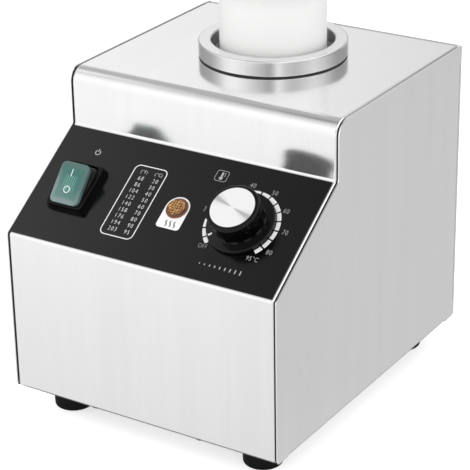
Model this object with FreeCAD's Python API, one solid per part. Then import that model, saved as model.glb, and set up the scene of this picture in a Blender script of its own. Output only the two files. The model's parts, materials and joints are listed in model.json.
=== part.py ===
import FreeCAD, Part
import os
from math import atan2, cos, degrees, hypot, pi, radians, sin, tan

# Counter-top warmer for one bottle of fudge sauce: a folded stainless cabinet with a sloped control
# panel, a heated well in its top, and the squeeze bottle that stands in the well.
# Millimetres. +X to the right seen from the front, +Y to the rear, +Z up, floor at Z = 0.

# Cabinet
body_width = 200.0
body_depth = 238.0
body_height = 198.0
riser_height = 38.0
panel_run = 74.0
panel_rise = 50.0
top_bend = 10.0
fold_bend = 2.5
edge_bend = 1.6
sheet = 1.0
seam = 0.8
lap = 0.1
flange = 12.0
foot_height = 18.0
overrun = 5.0
touching = 0.001

# Rubber feet
foot_radius = 12.5
foot_tip_radius = 11.8
foot_edge_round = 3.0
foot_inset = 26.5
foot_screw_well_radius = 5.2
foot_web = 5.0

# Screws, nuts and their holes
screw_radius = 1.95
screw_hole_radius = 2.15
screw_head_radius = 3.8
screw_head_height = 2.2
screw_tail = 6.0
foot_screw_head_radius = 4.2
small_screw_radius = 1.45
small_hole_radius = 1.6
small_head_radius = 2.8
small_head_height = 1.6
small_nut_flat = 2.75
small_nut_height = 2.4
thread_gap = 0.08
head_round_share = 0.6
base_screw_inset = 20.0
front_screw_inset = 60.0
rear_screw_low = 26.0
rear_screw_high = 30.0
top_screw_inset = 55.0

# Vent slots in the base plate
vent_count = 7
vent_pitch = 9.0
vent_width = 3.5
vent_length = 46.0

# Heated well, its collar and the bottle's place in it
well_place_share = 0.5427
well_radius = 40.4
well_wall = 1.5
well_depth = 125.0
well_corner = 6.0
rim_width = 3.6
rim_thickness = 1.0
collar_radius = 49.0
collar_height = 10.0
collar_round = 0.9
collar_seat_gap = 0.15
gasket_height = 1.0
gasket_inset = 0.4
stud_circle = 46.1
stud_count = 3
stud_grip = 5.0
stud_tail = 4.5
well_hole_gap = 0.9

# Band heater, its clamp and its lagging
band_gap = 0.2
band_thickness = 3.5
band_low = 30.0
band_head_room = 37.0
band_split = 9.0
ear_length = 11.0
ear_thickness = 1.5
clamp_screw_reach = 7.0
clamp_screw_inset = 12.0
post_angle = 30.0
post_radius = 2.0
post_length = 11.0
bead_radius = 4.0
bead_length = 4.5
lagging_gap = 0.6
lagging_thickness = 7.0
lagging_overlap = 5.0
lagging_opening = 48.0

# Overheat cut-out under the well
cutout_radius = 8.0
cutout_height = 9.0
cutout_plate_width = 15.0
cutout_plate_thickness = 0.8
cutout_screw_spread = 12.0
cutout_tab_width = 6.3
cutout_tab_thickness = 0.8
cutout_tab_length = 8.0
cutout_tab_spread = 4.5

# Label on the slope
label_thickness = 0.4
label_side_margin = 3.45
label_end_margin = 1.45
label_corner = 1.0

# Power switch, seen square to the slope
switch_from_side = 31.8
switch_up = 42.4
rocker_width = 18.9
rocker_length = 25.4
rocker_foot_length = 22.4
rocker_rise = 9.4
rocker_dip = 3.0
rocker_heel = 14.0
rocker_corner = 2.4
rocker_gap = 0.45
rocker_rest_tilt = 16.0
rocker_pin_radius = 1.2
rocker_pin_length = 0.5
pin_gap = 0.05
pivot_height = 0.6
pocket_depth = 5.0
boot_wall = 0.8
boot_fit = 0.4
boot_drop = 4.6
boot_edge_round = 0.7
boot_gap = 0.35
switch_side_wall = 0.95
switch_end_wall = 2.0
switch_body_depth = 22.0
switch_cut_gap = 0.3
switch_flange_ledge = 0.8
switch_flange_thickness = 1.8
switch_corner = 2.0
bezel_side_wall = 2.4
bezel_end_wall = 1.0
bezel_thickness = 3.2
bezel_edge_round = 0.6
tab_width = 6.3
tab_thickness = 0.8
tab_length = 9.0
tab_spread_across = 10.0
tab_spread_up = 12.0

# Indicator lamp
lamp_from_side = 93.75
lamp_up = 45.5
lamp_radius = 6.5
lamp_rise = 1.9
lamp_round = 0.8
lamp_stem_radius = 5.6
lamp_hole_gap = 0.25
lamp_depth = 20.0
lamp_nut_flat = 8.0
lamp_nut_height = 4.0
lamp_pin_radius = 0.8
lamp_pin_spread = 2.6
lamp_pin_length = 9.0

# Thermostat, its sensor and its knob
knob_from_side = 46.65
knob_up = 45.3
spindle_radius = 3.0
spindle_gap = 0.06
spindle_flat = 0.8
spindle_seat = 8.0
thermostat_width = 34.0
thermostat_height = 36.0
thermostat_depth = 20.0
thermostat_plate = 1.0
thermostat_corner = 2.0
thermostat_neck_radius = 5.0
thermostat_hole_gap = 0.4
thermostat_screw_spread = 13.0
thermostat_screw_tail = 2.5
knob_radius = 22.2
knob_lift = 0.9
knob_skirt = 2.2
knob_waist_radius = 15.9
knob_waist_height = 11.0
knob_rim_radius = 17.2
knob_rim_height = 13.2
knob_height = 17.2
knob_wall = 2.4
knob_boss_radius = 6.0
knob_boss_drop = 2.2
knob_cap_radius = 14.7
knob_cap_thickness = 1.2
knob_cap_gap = 0.1
knob_cap_round = 0.5
knob_cap_stand = 0.25
knob_skirt_drop = 0.5
knob_skirt_round = 1.2
knob_foot_round = 0.7
knob_waist_round = 4.0
knob_top_round = 1.9
knob_flute_count = 12
knob_flute_floor = 15.2
knob_flute_radius = 3.0
knob_flute_tip = 1.6
knob_flute_taper = 2.0
knob_flute_stop = 2.3
knob_web = 4.0
bulb_radius = 3.0
bulb_overreach = 8.0
bulb_tip_round = 1.2
capillary_radius = 0.8
capillary_drop = 16.0
capillary_bend = 8.0
capillary_lead = 20.0

# Cable gland, terminal block and earth stud
gland_from_side = 40.0
gland_up = 26.0
gland_bore = 3.75
gland_stem_radius = 7.4
gland_hole_gap = 0.3
gland_stem_length = 13.0
gland_hex_flat = 9.5
gland_hex_length = 5.0
gland_nut_radius = 8.6
gland_nut_length = 11.0
gland_nut_round = 2.6
gland_wall = 2.2
gland_seal_radius = 5.0
gland_seal_length = 8.0
gland_mouth_gap = 0.35
gland_locknut_flat = 11.0
gland_locknut_height = 5.0
gland_reach = gland_hex_length + gland_nut_length
block_from_side = 42.0
block_from_rear = 52.0
block_width = 36.0
block_depth = 22.0
block_height = 16.0
block_shoulder = 5.0
block_step = 7.0
block_poles = 3
block_pitch = 11.0
block_wire_radius = 2.2
block_screw_radius = 1.9
block_screw_height = 1.4
earth_from_side = 85.0
earth_from_rear = 42.0
earth_stud_height = 15.0
earth_nut_flat = 3.5
earth_nut_height = 3.2
earth_washer_radius = 4.6
earth_washer_height = 0.8

# Squeeze bottle
bottle_radius = 35.1
bottle_wall = 1.3
bottle_straight = 164.0
bottle_base_round = 4.0
bottle_push_up = 2.0
bottle_foot_width = 7.0
shoulder_height = 17.0
shoulder_round = 8.0
neck_radius = 26.0
neck_height = 15.0
bottle_seat_gap = 0.3
cap_radius = 30.0
cap_gap = 0.4
cap_wall = 1.8
cap_skirt_gap = 1.0
cap_deck_rise = 4.0
cone_foot_radius = 15.0
cone_tip_radius = 3.4
cone_height = 48.0
cone_wall = 1.6
cap_rib_count = 40
cap_rib_height = 0.5
cap_rib_width = 1.6
cap_rib_margin = 2.0
tip_cap_gap = 0.3
tip_cap_wall = 1.4
tip_cap_cover = 9.0
tip_cap_round = 1.2

# Places that follow from the sizes above
cabinet_floor = foot_height
cabinet_top = cabinet_floor + body_height
front_height = body_height - riser_height - panel_rise
front_y = -(body_depth + gland_reach) / 2
rear_y = front_y + body_depth
skin_rear_y = rear_y - sheet - lap
slope = atan2(panel_rise, panel_run)
slope_length = hypot(panel_run, panel_rise)
slope_foot_z = cabinet_floor + front_height
cover_half = body_width / 2 - sheet - seam
well_y = front_y + panel_run + (body_depth - panel_run) * well_place_share
collar_foot_z = cabinet_top + gasket_height
collar_top_z = collar_foot_z + collar_height
well_floor_z = collar_top_z - well_depth
base_low_z = cabinet_floor + sheet + lap
base_high_z = base_low_z + sheet
band_height = well_depth - band_low - band_head_room
bulb_length = band_height + 2 * bulb_overreach
face_out = label_thickness
switch_across = switch_from_side - body_width / 2
lamp_across = body_width / 2 - lamp_from_side
knob_across = body_width / 2 - knob_from_side
gland_across = body_width / 2 - gland_from_side
block_across = body_width / 2 - block_from_side
earth_across = body_width / 2 - earth_from_side


# Shapes

def point(x, y, z):
    return FreeCAD.Vector(x, y, z)


def side_plane(a, b):
    return point(0, a, b)


def turning_plane(a, b):
    return point(a, 0, b)


def flat_plane(a, b):
    return point(a, b, 0)


def unit(a, b):
    length = hypot(a, b)
    return a / length, b / length


def outline(corners, rounds, plane):
    # A closed wire through the corners, each one rounded by its own radius
    stops = []
    for i, (corner, radius) in enumerate(zip(corners, rounds)):
        before = corners[i - 1]
        after = corners[(i + 1) % len(corners)]
        back = unit(before[0] - corner[0], before[1] - corner[1])
        on = unit(after[0] - corner[0], after[1] - corner[1])
        if radius <= 0:
            stops.append((corner, None, corner))
            continue
        half = atan2(hypot(on[0] - back[0], on[1] - back[1]), hypot(on[0] + back[0], on[1] + back[1]))
        reach = radius / tan(half)
        middle = unit(back[0] + on[0], back[1] + on[1])
        bulge = radius / sin(half) - radius
        start = (corner[0] + back[0] * reach, corner[1] + back[1] * reach)
        top = (corner[0] + middle[0] * bulge, corner[1] + middle[1] * bulge)
        end = (corner[0] + on[0] * reach, corner[1] + on[1] * reach)
        stops.append((start, top, end))
    edges = []
    for i, (start, top, end) in enumerate(stops):
        if top is not None:
            edges.append(Part.Arc(plane(*start), plane(*top), plane(*end)).toShape())
        following = stops[(i + 1) % len(stops)][0]
        if hypot(following[0] - end[0], following[1] - end[1]) > touching:
            edges.append(Part.LineSegment(plane(*end), plane(*following)).toShape())
    return Part.Wire(edges)


def inset(corners, distance):
    # Clockwise corners moved inward by the distance, edge by edge
    moved = []
    for i, corner in enumerate(corners):
        before = corners[i - 1]
        after = corners[(i + 1) % len(corners)]
        come = unit(corner[0] - before[0], corner[1] - before[1])
        go = unit(after[0] - corner[0], after[1] - corner[1])
        turn = 1 + come[0] * go[0] + come[1] * go[1]
        moved.append((
            corner[0] + distance * (come[1] + go[1]) / turn,
            corner[1] - distance * (come[0] + go[0]) / turn,
        ))
    return moved


def along_x(corners, rounds, low, high):
    face = Part.Face(outline(corners, rounds, side_plane))
    face.translate(point(low, 0, 0))
    return face.extrude(point(high - low, 0, 0))


def along_y(corners, rounds, low, high):
    face = Part.Face(outline(corners, rounds, turning_plane))
    face.translate(point(0, low, 0))
    return face.extrude(point(0, high - low, 0))


def upright(corners, rounds, low, high):
    face = Part.Face(outline(corners, rounds, flat_plane))
    face.translate(point(0, 0, low))
    return face.extrude(point(0, 0, high - low))


def turned(corners, rounds):
    face = Part.Face(outline(corners, rounds, turning_plane))
    return face.revolve(point(0, 0, 0), point(0, 0, 1), 360)


def block(x_low, x_high, y_low, y_high, z_low, z_high):
    return Part.makeBox(x_high - x_low, y_high - y_low, z_high - z_low, point(x_low, y_low, z_low))


def rod(radius, low, high, x=0, y=0):
    return Part.makeCylinder(radius, high - low, point(x, y, low))


def hole(radius, low, high, x=0, y=0):
    # A drill through whatever lies between the two heights
    return rod(radius, low - overrun, high + overrun, x, y)


def rod_y(radius, low, high, x, z):
    return Part.makeCylinder(radius, high - low, point(x, low, z), point(0, 1, 0))


def plate(width, height, corner, low, high):
    across = width / 2
    up = height / 2
    corners = [(-across, -up), (-across, up), (across, up), (across, -up)]
    return upright(corners, [corner] * len(corners), low, high)


def hexagon(flat, low, high):
    corner = flat / cos(pi / 6)
    corners = [(corner * cos(i * pi / 3), corner * sin(i * pi / 3)) for i in range(6)]
    return upright(corners, [0] * len(corners), low, high)


def screw(radius, length, head_radius, head_height):
    # Pan head on top of Z = 0, shank below it
    corners = [(0, head_height), (head_radius, head_height), (head_radius, 0), (radius, 0), (radius, -length),
               (0, -length)]
    head_round = min(head_height, head_radius) * head_round_share
    return turned(corners, [0, head_round, 0, 0, 0, 0])


def moved(shape, x, y, z):
    copy = shape.copy()
    copy.translate(point(x, y, z))
    return copy


def turned_over(shape):
    copy = shape.copy()
    copy.rotate(point(0, 0, 0), point(1, 0, 0), 180)
    return copy


def facing_rear(shape):
    # What pointed up now points to the rear
    copy = shape.copy()
    copy.rotate(point(0, 0, 0), point(1, 0, 0), -90)
    return copy


def swung(shape, angle):
    copy = shape.copy()
    copy.rotate(point(0, 0, 0), point(0, 0, 1), angle)
    return copy


def on_slope(shape, across=0, up=0):
    # From a frame square to the slope, X across it, Y up it and Z out of it, to the cabinet
    copy = moved(shape, across, up, 0)
    copy.rotate(point(0, 0, 0), point(1, 0, 0), degrees(slope))
    copy.translate(point(0, front_y, slope_foot_z))
    return copy


def at_well(shape):
    return moved(shape, 0, well_y, 0)


def edges_where(shape, test):
    return [edge for edge in shape.Edges if all(test(vertex.Point) for vertex in edge.Vertexes)]


# Cabinet

def silhouette(rear):
    return [
        (front_y, cabinet_floor),
        (front_y, slope_foot_z),
        (front_y + panel_run, slope_foot_z + panel_rise),
        (front_y + panel_run, cabinet_top),
        (rear, cabinet_top),
        (rear, cabinet_floor),
    ]


def cover_solid(distance, half, bend):
    # The cabinet's form, drawn in from the skin by the distance
    bends = [fold_bend - distance, fold_bend - distance, fold_bend + distance, top_bend - distance,
             fold_bend - distance, fold_bend - distance]
    solid = along_x(inset(silhouette(skin_rear_y), distance), bends, -half, half)
    rim = edges_where(solid, lambda p: abs(abs(p.x) - half) < lap)
    return solid.makeFillet(bend, rim)


def front_top_cover():
    skin = cover_solid(0, cover_half, edge_bend)
    hollow = cover_solid(sheet, cover_half - sheet, edge_bend - sheet)
    shell = skin.cut(hollow)
    inner = inset(silhouette(skin_rear_y), flange)
    window = along_x(inner, [0] * len(inner), -body_width, body_width)
    back = block(-body_width, body_width, skin_rear_y - flange, rear_y + overrun,
                 cabinet_floor - overrun, cabinet_top - flange)
    under = block(-body_width, body_width, front_y + flange, rear_y + overrun,
                  cabinet_floor - overrun, cabinet_floor + flange)
    shell = shell.cut(window.fuse([back, under]))
    holes = [at_well(hole(well_radius + well_wall + well_hole_gap, cabinet_top, cabinet_top))]
    holes += [moved(hole(small_hole_radius, cabinet_top, cabinet_top), x, y, 0)
              for x, y in stud_places()]
    holes += panel_holes(-overrun, overrun)
    holes += [moved(hole(screw_hole_radius, cabinet_floor, cabinet_floor), x, y, 0)
              for x, y in front_screw_places()]
    holes += [rod_y(screw_hole_radius, skin_rear_y - flange, rear_y + overrun, x, z)
              for x, z in top_screw_places()]
    return shell.cut(holes)


def panel_holes(low, high):
    window = plate(switch_body_width + 2 * switch_cut_gap, switch_body_length + 2 * switch_cut_gap,
                   switch_cut_gap, low, high)
    holes = [
        on_slope(window, switch_across, switch_up),
        on_slope(rod(lamp_stem_radius + lamp_hole_gap, low, high), lamp_across, lamp_up),
        on_slope(rod(thermostat_neck_radius + thermostat_hole_gap, low, high), knob_across, knob_up),
    ]
    for side in (-1, 1):
        hole = rod(screw_hole_radius, low, high)
        holes.append(on_slope(hole, knob_across + side * thermostat_screw_spread, knob_up))
    return holes


def lip(edge, inward):
    # The section of a lip folded in from the right-hand side at an edge
    outer_x = body_width / 2
    inner_x = outer_x - sheet
    bend_end = edge + inward * edge_bend
    wall = edge + inward * sheet
    return [(outer_x, bend_end), (outer_x, edge), (outer_x - flange, edge), (outer_x - flange, wall),
            (inner_x, wall), (inner_x, bend_end)]


def side_panel():
    # The right-hand one: a flat side with a lip folded in at the rear and another at the floor
    outer_x = body_width / 2
    inner_x = outer_x - sheet
    bends = [fold_bend, fold_bend, fold_bend, top_bend, lap, fold_bend]
    skin = along_x(silhouette(skin_rear_y), bends, inner_x, outer_x)
    rear_fold = lip(skin_rear_y, -1)
    floor_fold = lip(cabinet_floor, 1)
    rounds = [0, edge_bend, 0, 0, edge_bend - sheet, 0]
    low, high = cabinet_floor + flange + seam, cabinet_top - flange - seam
    fore, aft = front_y + flange + seam, skin_rear_y - flange
    across = inner_x - overrun, outer_x + overrun
    skin = skin.cut([
        block(*across, skin_rear_y - edge_bend, skin_rear_y + overrun, low, high),
        block(*across, fore, aft, cabinet_floor - overrun, cabinet_floor + edge_bend),
    ])
    panel = skin.fuse([upright(rear_fold, rounds, low, high), along_y(floor_fold, rounds, fore, aft)])
    holes = [moved(hole(screw_hole_radius, cabinet_floor, cabinet_floor), x, y, 0)
             for x, y in side_screw_places()]
    holes += [rod_y(screw_hole_radius, skin_rear_y - flange, rear_y + overrun, x, z)
              for x, z in rear_screw_places()]
    return panel.removeSplitter().cut(holes)


def mirrored(shape):
    return shape.mirror(point(0, 0, 0), point(1, 0, 0))


def rear_cover():
    half = body_width / 2
    panel = block(-half, half, rear_y - sheet, rear_y, cabinet_floor, cabinet_top)
    corners = edges_where(panel, lambda p: abs(abs(p.x) - half) < lap)
    corners = [edge for edge in corners if abs(edge.Vertexes[0].Y - edge.Vertexes[1].Y) > lap]
    panel = panel.makeFillet(edge_bend, corners)
    holes = [rod_y(screw_hole_radius, skin_rear_y - flange, rear_y + overrun, x, z)
             for x, z in rear_screw_places() + top_screw_places()]
    holes.append(rod_y(gland_stem_radius + gland_hole_gap, rear_y - overrun, rear_y + overrun,
                       gland_across, cabinet_floor + gland_up))
    return panel.cut(holes)


def base_plate():
    half = cover_half - sheet - 2 * seam
    front = front_y + fold_bend + lap
    rear = skin_rear_y - sheet - 2 * seam
    corners = [(-half, front), (-half, rear), (half, rear), (half, front)]
    panel = upright(corners, [fold_bend] * len(corners), base_low_z, base_high_z)
    holes = [moved(hole(screw_hole_radius, base_low_z, base_high_z), x, y, 0)
             for x, y in side_screw_places() + front_screw_places() + foot_places()]
    slot = plate(vent_width, vent_length, vent_width / 2 - lap, base_low_z - overrun, base_high_z + overrun)
    for i in range(vent_count):
        across = (i - (vent_count - 1) / 2) * vent_pitch
        holes.append(moved(slot, across, front_y + body_depth / 2, 0))
    holes += [moved(hole(small_hole_radius, base_low_z, base_high_z), x, y, 0)
              for x, y in block_screw_places()]
    earth_x, earth_y = earth_place()
    holes.append(moved(hole(screw_hole_radius, base_low_z, base_high_z), earth_x, earth_y, 0))
    return panel.cut(holes)


# Where the fasteners go

def side_screw_places():
    across = body_width / 2 - flange / 2
    fore = front_y + flange + base_screw_inset
    aft = skin_rear_y - flange - base_screw_inset
    return [(side * across, y) for side in (-1, 1) for y in (fore, (fore + aft) / 2, aft)]


def front_screw_places():
    across = body_width / 2 - front_screw_inset
    return [(side * across, front_y + flange / 2 + sheet) for side in (-1, 1)]


def rear_screw_places():
    across = body_width / 2 - flange / 2
    heights = (cabinet_floor + rear_screw_low, cabinet_top - flange - rear_screw_high)
    return [(side * across, z) for side in (-1, 1) for z in heights]


def top_screw_places():
    across = body_width / 2 - top_screw_inset
    return [(side * across, cabinet_top - flange / 2) for side in (-1, 1)]


def foot_places():
    across = body_width / 2 - foot_inset
    return [(side * across, y) for y in (front_y + foot_inset, rear_y - foot_inset) for side in (-1, 1)]


def stud_places():
    angles = [pi / 2 + i * 2 * pi / stud_count for i in range(stud_count)]
    return [(stud_circle * cos(a), well_y + stud_circle * sin(a)) for a in angles]


def block_screw_places():
    y = rear_y - block_from_rear
    across = (block_poles - 1) / 2 * block_pitch
    return [(block_across + side * across / 2, y) for side in (-1, 1)]


def earth_place():
    return earth_across, rear_y - earth_from_rear


def base_screws():
    one = turned_over(screw(screw_radius, sheet * 2 + lap + screw_tail, screw_head_radius, screw_head_height))
    places = side_screw_places() + front_screw_places()
    return Part.makeCompound([moved(one, x, y, cabinet_floor) for x, y in places])


def rear_cover_screws():
    one = facing_rear(screw(screw_radius, sheet * 2 + lap + screw_tail, screw_head_radius, screw_head_height))
    return Part.makeCompound([moved(one, x, rear_y, z) for x, z in rear_screw_places() + top_screw_places()])


# Feet

def foot():
    seat = base_low_z
    corners = [
        (screw_hole_radius, foot_web), (foot_screw_well_radius, foot_web), (foot_screw_well_radius, 0),
        (foot_tip_radius, 0), (foot_radius, seat), (screw_hole_radius, seat),
    ]
    return turned(corners, [0, 0, 0, foot_edge_round, 0, 0])


def foot_screws():
    length = base_high_z - foot_web + screw_tail
    one = turned_over(screw(screw_radius, length, foot_screw_head_radius, screw_head_height))
    return Part.makeCompound([moved(one, x, y, foot_web) for x, y in foot_places()])


# Label

def control_panel_label():
    width = body_width - 2 * label_side_margin
    height = slope_length - 2 * label_end_margin
    sticker = on_slope(plate(width, height, label_corner, 0, label_thickness), 0, slope_length / 2)
    return sticker.cut(panel_holes(-overrun, overrun))


# Heated well

def well_pot():
    outer = well_radius + well_wall
    rim = well_radius + rim_width
    top = collar_foot_z + rim_thickness
    low = well_floor_z - well_wall
    corners = [
        (0, well_floor_z), (well_radius, well_floor_z), (well_radius, top), (rim, top),
        (rim, collar_foot_z), (outer, collar_foot_z), (outer, low), (0, low),
    ]
    rounds = [0, well_corner, 0, 0, 0, 0, well_corner + well_wall, 0]
    pot = turned(corners, rounds)
    tap_end = well_floor_z - well_wall / 2 + thread_gap
    tapped = [rod(small_screw_radius + thread_gap, low - overrun, tap_end, side * cutout_screw_spread)
              for side in (-1, 1)]
    return at_well(pot.cut(tapped))


def well_collar():
    seat_radius = well_radius + rim_width + collar_seat_gap
    seat = collar_foot_z + rim_thickness + collar_seat_gap
    corners = [
        (well_radius, seat), (well_radius, collar_top_z), (collar_radius, collar_top_z),
        (collar_radius, collar_foot_z), (seat_radius, collar_foot_z), (seat_radius, seat),
    ]
    ring = turned(corners, [0, collar_round, collar_round, collar_round / 3, 0, 0])
    tap_end = collar_foot_z + stud_grip + collar_seat_gap
    tapped = [rod(small_screw_radius + thread_gap, collar_foot_z - overrun, tap_end, x, y - well_y)
              for x, y in stud_places()]
    return at_well(ring.cut(tapped))


def well_gasket():
    inner = well_radius + well_wall + well_hole_gap / 2
    outer = collar_radius - gasket_inset
    ring = rod(outer, cabinet_top, collar_foot_z).cut(hole(inner, cabinet_top, collar_foot_z))
    holes = [hole(small_hole_radius, cabinet_top, collar_foot_z, x, y - well_y)
             for x, y in stud_places()]
    return at_well(ring.cut(holes))


def collar_studs():
    low = cabinet_top - sheet - stud_tail
    high = collar_foot_z + stud_grip
    return Part.makeCompound([rod(small_screw_radius, low, high, x, y) for x, y in stud_places()])


def collar_nuts():
    high = cabinet_top - sheet
    low = high - small_nut_height
    nuts = []
    for x, y in stud_places():
        nut = hexagon(small_nut_flat, low, high).cut(hole(small_screw_radius + thread_gap, low, high))
        nuts.append(moved(nut, x, y, 0))
    return Part.makeCompound(nuts)


# Band heater: a split band round the pot, its gap to the front for the sensor

def band_span():
    low = well_floor_z + band_low
    return low, low + band_height


def band_heater():
    low, high = band_span()
    inner = well_radius + well_wall + band_gap
    outer = inner + band_thickness
    band = rod(outer, low, high).cut(hole(inner, low, high))
    band = band.cut(block(-band_split, band_split, -outer - overrun, 0, low - overrun, high + overrun))
    ears = []
    for side in (-1, 1):
        near = side * band_split
        far = side * (band_split + ear_thickness)
        ear = block(min(near, far), max(near, far), -outer - ear_length, -inner, low, high)
        ears.append(ear.cut(hole(inner, low, high)))
    band = band.fuse(ears).removeSplitter()
    reach = 2 * band_split
    holes = [Part.makeCylinder(screw_hole_radius, 2 * reach, point(-reach, y, z), point(1, 0, 0))
             for y, z in clamp_places()]
    post_hole = post_rod(post_radius + band_gap, inner, outer + overrun)
    holes += [swung(post_hole, angle) for angle in post_angles()]
    return at_well(band.cut(holes))


def clamp_places():
    low, high = band_span()
    outer = well_radius + well_wall + band_gap + band_thickness
    return [(-outer - clamp_screw_reach, z) for z in (low + clamp_screw_inset, high - clamp_screw_inset)]


def heater_clamp_screws():
    screws = []
    length = 2 * (band_split + ear_thickness) + screw_tail / 2
    one = screw(screw_radius, length, screw_head_radius, screw_head_height)
    one.rotate(point(0, 0, 0), point(0, 1, 0), 90)
    for y, z in clamp_places():
        screws.append(moved(one, band_split + ear_thickness, y, z))
    return at_well(Part.makeCompound(screws))


def post_angles():
    return [-post_angle, post_angle]


def post_rod(radius, start, end):
    low, high = band_span()
    return Part.makeCylinder(radius, end - start, point(0, -start, (low + high) / 2), point(0, -1, 0))


def heater_terminals():
    inner = well_radius + well_wall + band_gap
    outer = inner + band_thickness
    posts = [swung(post_rod(post_radius, inner + band_gap, outer + post_length), a) for a in post_angles()]
    return at_well(Part.makeCompound(posts))


def heater_beads():
    outer = well_radius + well_wall + band_gap + band_thickness
    beads = []
    for angle in post_angles():
        bead = post_rod(bead_radius, outer + band_gap, outer + band_gap + bead_length)
        bead = bead.cut(post_rod(post_radius + band_gap, outer - overrun, outer + bead_length + overrun))
        beads.append(swung(bead, angle))
    return at_well(Part.makeCompound(beads))


def heater_lagging():
    low, high = band_span()
    low -= lagging_overlap
    high += lagging_overlap
    inner = well_radius + well_wall + band_gap + band_thickness + lagging_gap
    outer = inner + lagging_thickness
    wool = rod(outer, low, high).cut(hole(inner, low, high))
    wedge_reach = 2 * outer
    spread = radians(lagging_opening)
    wedge = upright([(0, 0), (wedge_reach * sin(spread), -wedge_reach * cos(spread)),
                     (-wedge_reach * sin(spread), -wedge_reach * cos(spread))], [0, 0, 0],
                    low - overrun, high + overrun)
    return at_well(wool.cut(wedge))


def overheat_cutout():
    seat = well_floor_z - well_wall
    plate_length = 2 * (cutout_screw_spread + small_head_radius + cutout_plate_thickness)
    body = plate(plate_length, cutout_plate_width, small_head_radius, seat - cutout_plate_thickness, seat)
    body = body.fuse(rod(cutout_radius, seat - cutout_height, seat - cutout_plate_thickness / 2))
    for side in (-1, 1):
        tab = block(-cutout_tab_width / 2, cutout_tab_width / 2,
                    side * cutout_tab_spread - cutout_tab_thickness / 2,
                    side * cutout_tab_spread + cutout_tab_thickness / 2,
                    seat - cutout_height - cutout_tab_length, seat - cutout_height + cutout_plate_thickness)
        body = body.fuse(tab)
    holes = [hole(small_hole_radius, seat, seat, side * cutout_screw_spread) for side in (-1, 1)]
    return at_well(body.cut(holes).removeSplitter())


def cutout_screws():
    seat = well_floor_z - well_wall - cutout_plate_thickness
    length = cutout_plate_thickness + well_wall / 2
    one = turned_over(screw(small_screw_radius, length, small_head_radius, small_head_height))
    return at_well(Part.makeCompound([moved(one, side * cutout_screw_spread, 0, seat) for side in (-1, 1)]))


# Power switch

rocker_lean = (rocker_length - rocker_foot_length) / 2 / rocker_rise
boot_stand_off = boot_fit + boot_wall
boot_width = rocker_width + 2 * boot_stand_off
pivot_out = face_out + pivot_height
bezel_low = face_out + switch_flange_thickness
bezel_high = bezel_low + bezel_thickness
pocket_width = rocker_width + 2 * rocker_gap
pocket_length = rocker_length + 2 * rocker_gap
switch_body_width = pocket_width + 2 * switch_side_wall
switch_body_length = pocket_length + 2 * switch_end_wall


def rocker_half(height):
    # Half the rocker's length at a height above its pivot: its ends lean outwards
    return rocker_foot_length / 2 + rocker_lean * height


def boot_reach():
    # How far the boot's pressed end stands out where it crosses the bezel's upper face
    tilt = radians(rocker_rest_tilt)
    foot = rocker_half(0) + boot_stand_off
    height = (bezel_high - pivot_out + foot * sin(tilt)) / (cos(tilt) - rocker_lean * sin(tilt))
    return (foot + rocker_lean * height) * cos(tilt) + height * sin(tilt)


def bezel_opening():
    return boot_width + 2 * boot_gap, 2 * (boot_reach() + boot_gap)


def bezel_outline():
    across, up = bezel_opening()
    return across + 2 * bezel_side_wall, up + 2 * bezel_end_wall


def switch_body():
    across, up = bezel_outline()
    ledge = 2 * switch_flange_ledge
    body = plate(across + ledge, up + ledge, switch_corner, face_out, bezel_low)
    case = plate(switch_body_width, switch_body_length, switch_cut_gap, -switch_body_depth, face_out)
    pocket = plate(pocket_width, pocket_length, switch_cut_gap, pivot_out - pocket_depth, bezel_low + overrun)
    reach = pocket_width / 2 + rocker_pin_length + pin_gap
    start = point(-reach, 0, pivot_out)
    bearing = Part.makeCylinder(rocker_pin_radius + pin_gap, 2 * reach, start, point(1, 0, 0))
    return on_slope(body.fuse(case).cut([pocket, bearing]).removeSplitter(), switch_across, switch_up)


def switch_bezel():
    across, up = bezel_outline()
    frame = plate(across, up, switch_corner, bezel_low, bezel_high)
    frame = frame.makeFillet(bezel_edge_round, edges_where(frame, lambda p: abs(p.z - bezel_high) < lap))
    across, up = bezel_opening()
    opening = plate(across, up, rocker_corner + boot_stand_off, bezel_low - overrun, bezel_high + overrun)
    return on_slope(frame.cut(opening), switch_across, switch_up)


def switch_terminals():
    low = -switch_body_depth - tab_length
    tabs = []
    tab = block(-tab_thickness / 2, tab_thickness / 2, -tab_width / 2, tab_width / 2, low, -switch_body_depth)
    for x in (-tab_spread_across / 2, tab_spread_across / 2):
        for y in (-tab_spread_up / 2, tab_spread_up / 2):
            tabs.append(moved(tab, x, y, 0))
    return on_slope(Part.makeCompound(tabs), switch_across, switch_up)


def on_rocker(shape):
    # From the rocker's own frame, its pivot at the origin, to the cabinet with its lower end pressed in
    copy = shape.copy()
    copy.rotate(point(0, 0, 0), point(1, 0, 0), rocker_rest_tilt)
    copy.translate(point(0, 0, pivot_out))
    return on_slope(copy, switch_across, switch_up)


def leaning_block(width, stand_off, corner, low, high):
    # A block as wide as told whose ends stay the same distance outside the rocker's leaning ends
    foot = rocker_half(low) + stand_off
    head = rocker_half(high) + stand_off
    solid = along_x([(-foot, low), (-head, high), (head, high), (foot, low)], [0] * 4, -width / 2, width / 2)
    leaning = [edge for edge in solid.Edges if edge.BoundBox.ZLength > (high - low) / 2]
    return solid.makeFillet(corner, leaning)


def switch_rocker():
    paddle = leaning_block(rocker_width, 0, rocker_corner, 0, rocker_rise)
    half = rocker_width / 2 - rocker_corner
    heel = rocker_heel / 2
    toe = rocker_half(0) - rocker_corner
    keel = along_x([(-toe, 0), (toe, 0), (heel, -rocker_dip), (-heel, -rocker_dip)], [0] * 4, -half, half)
    pin_half = pocket_width / 2 + rocker_pin_length
    pin = Part.makeCylinder(rocker_pin_radius, 2 * pin_half, point(-pin_half, 0, 0), point(1, 0, 0))
    return on_rocker(paddle.fuse([keel, pin]).removeSplitter())


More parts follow.
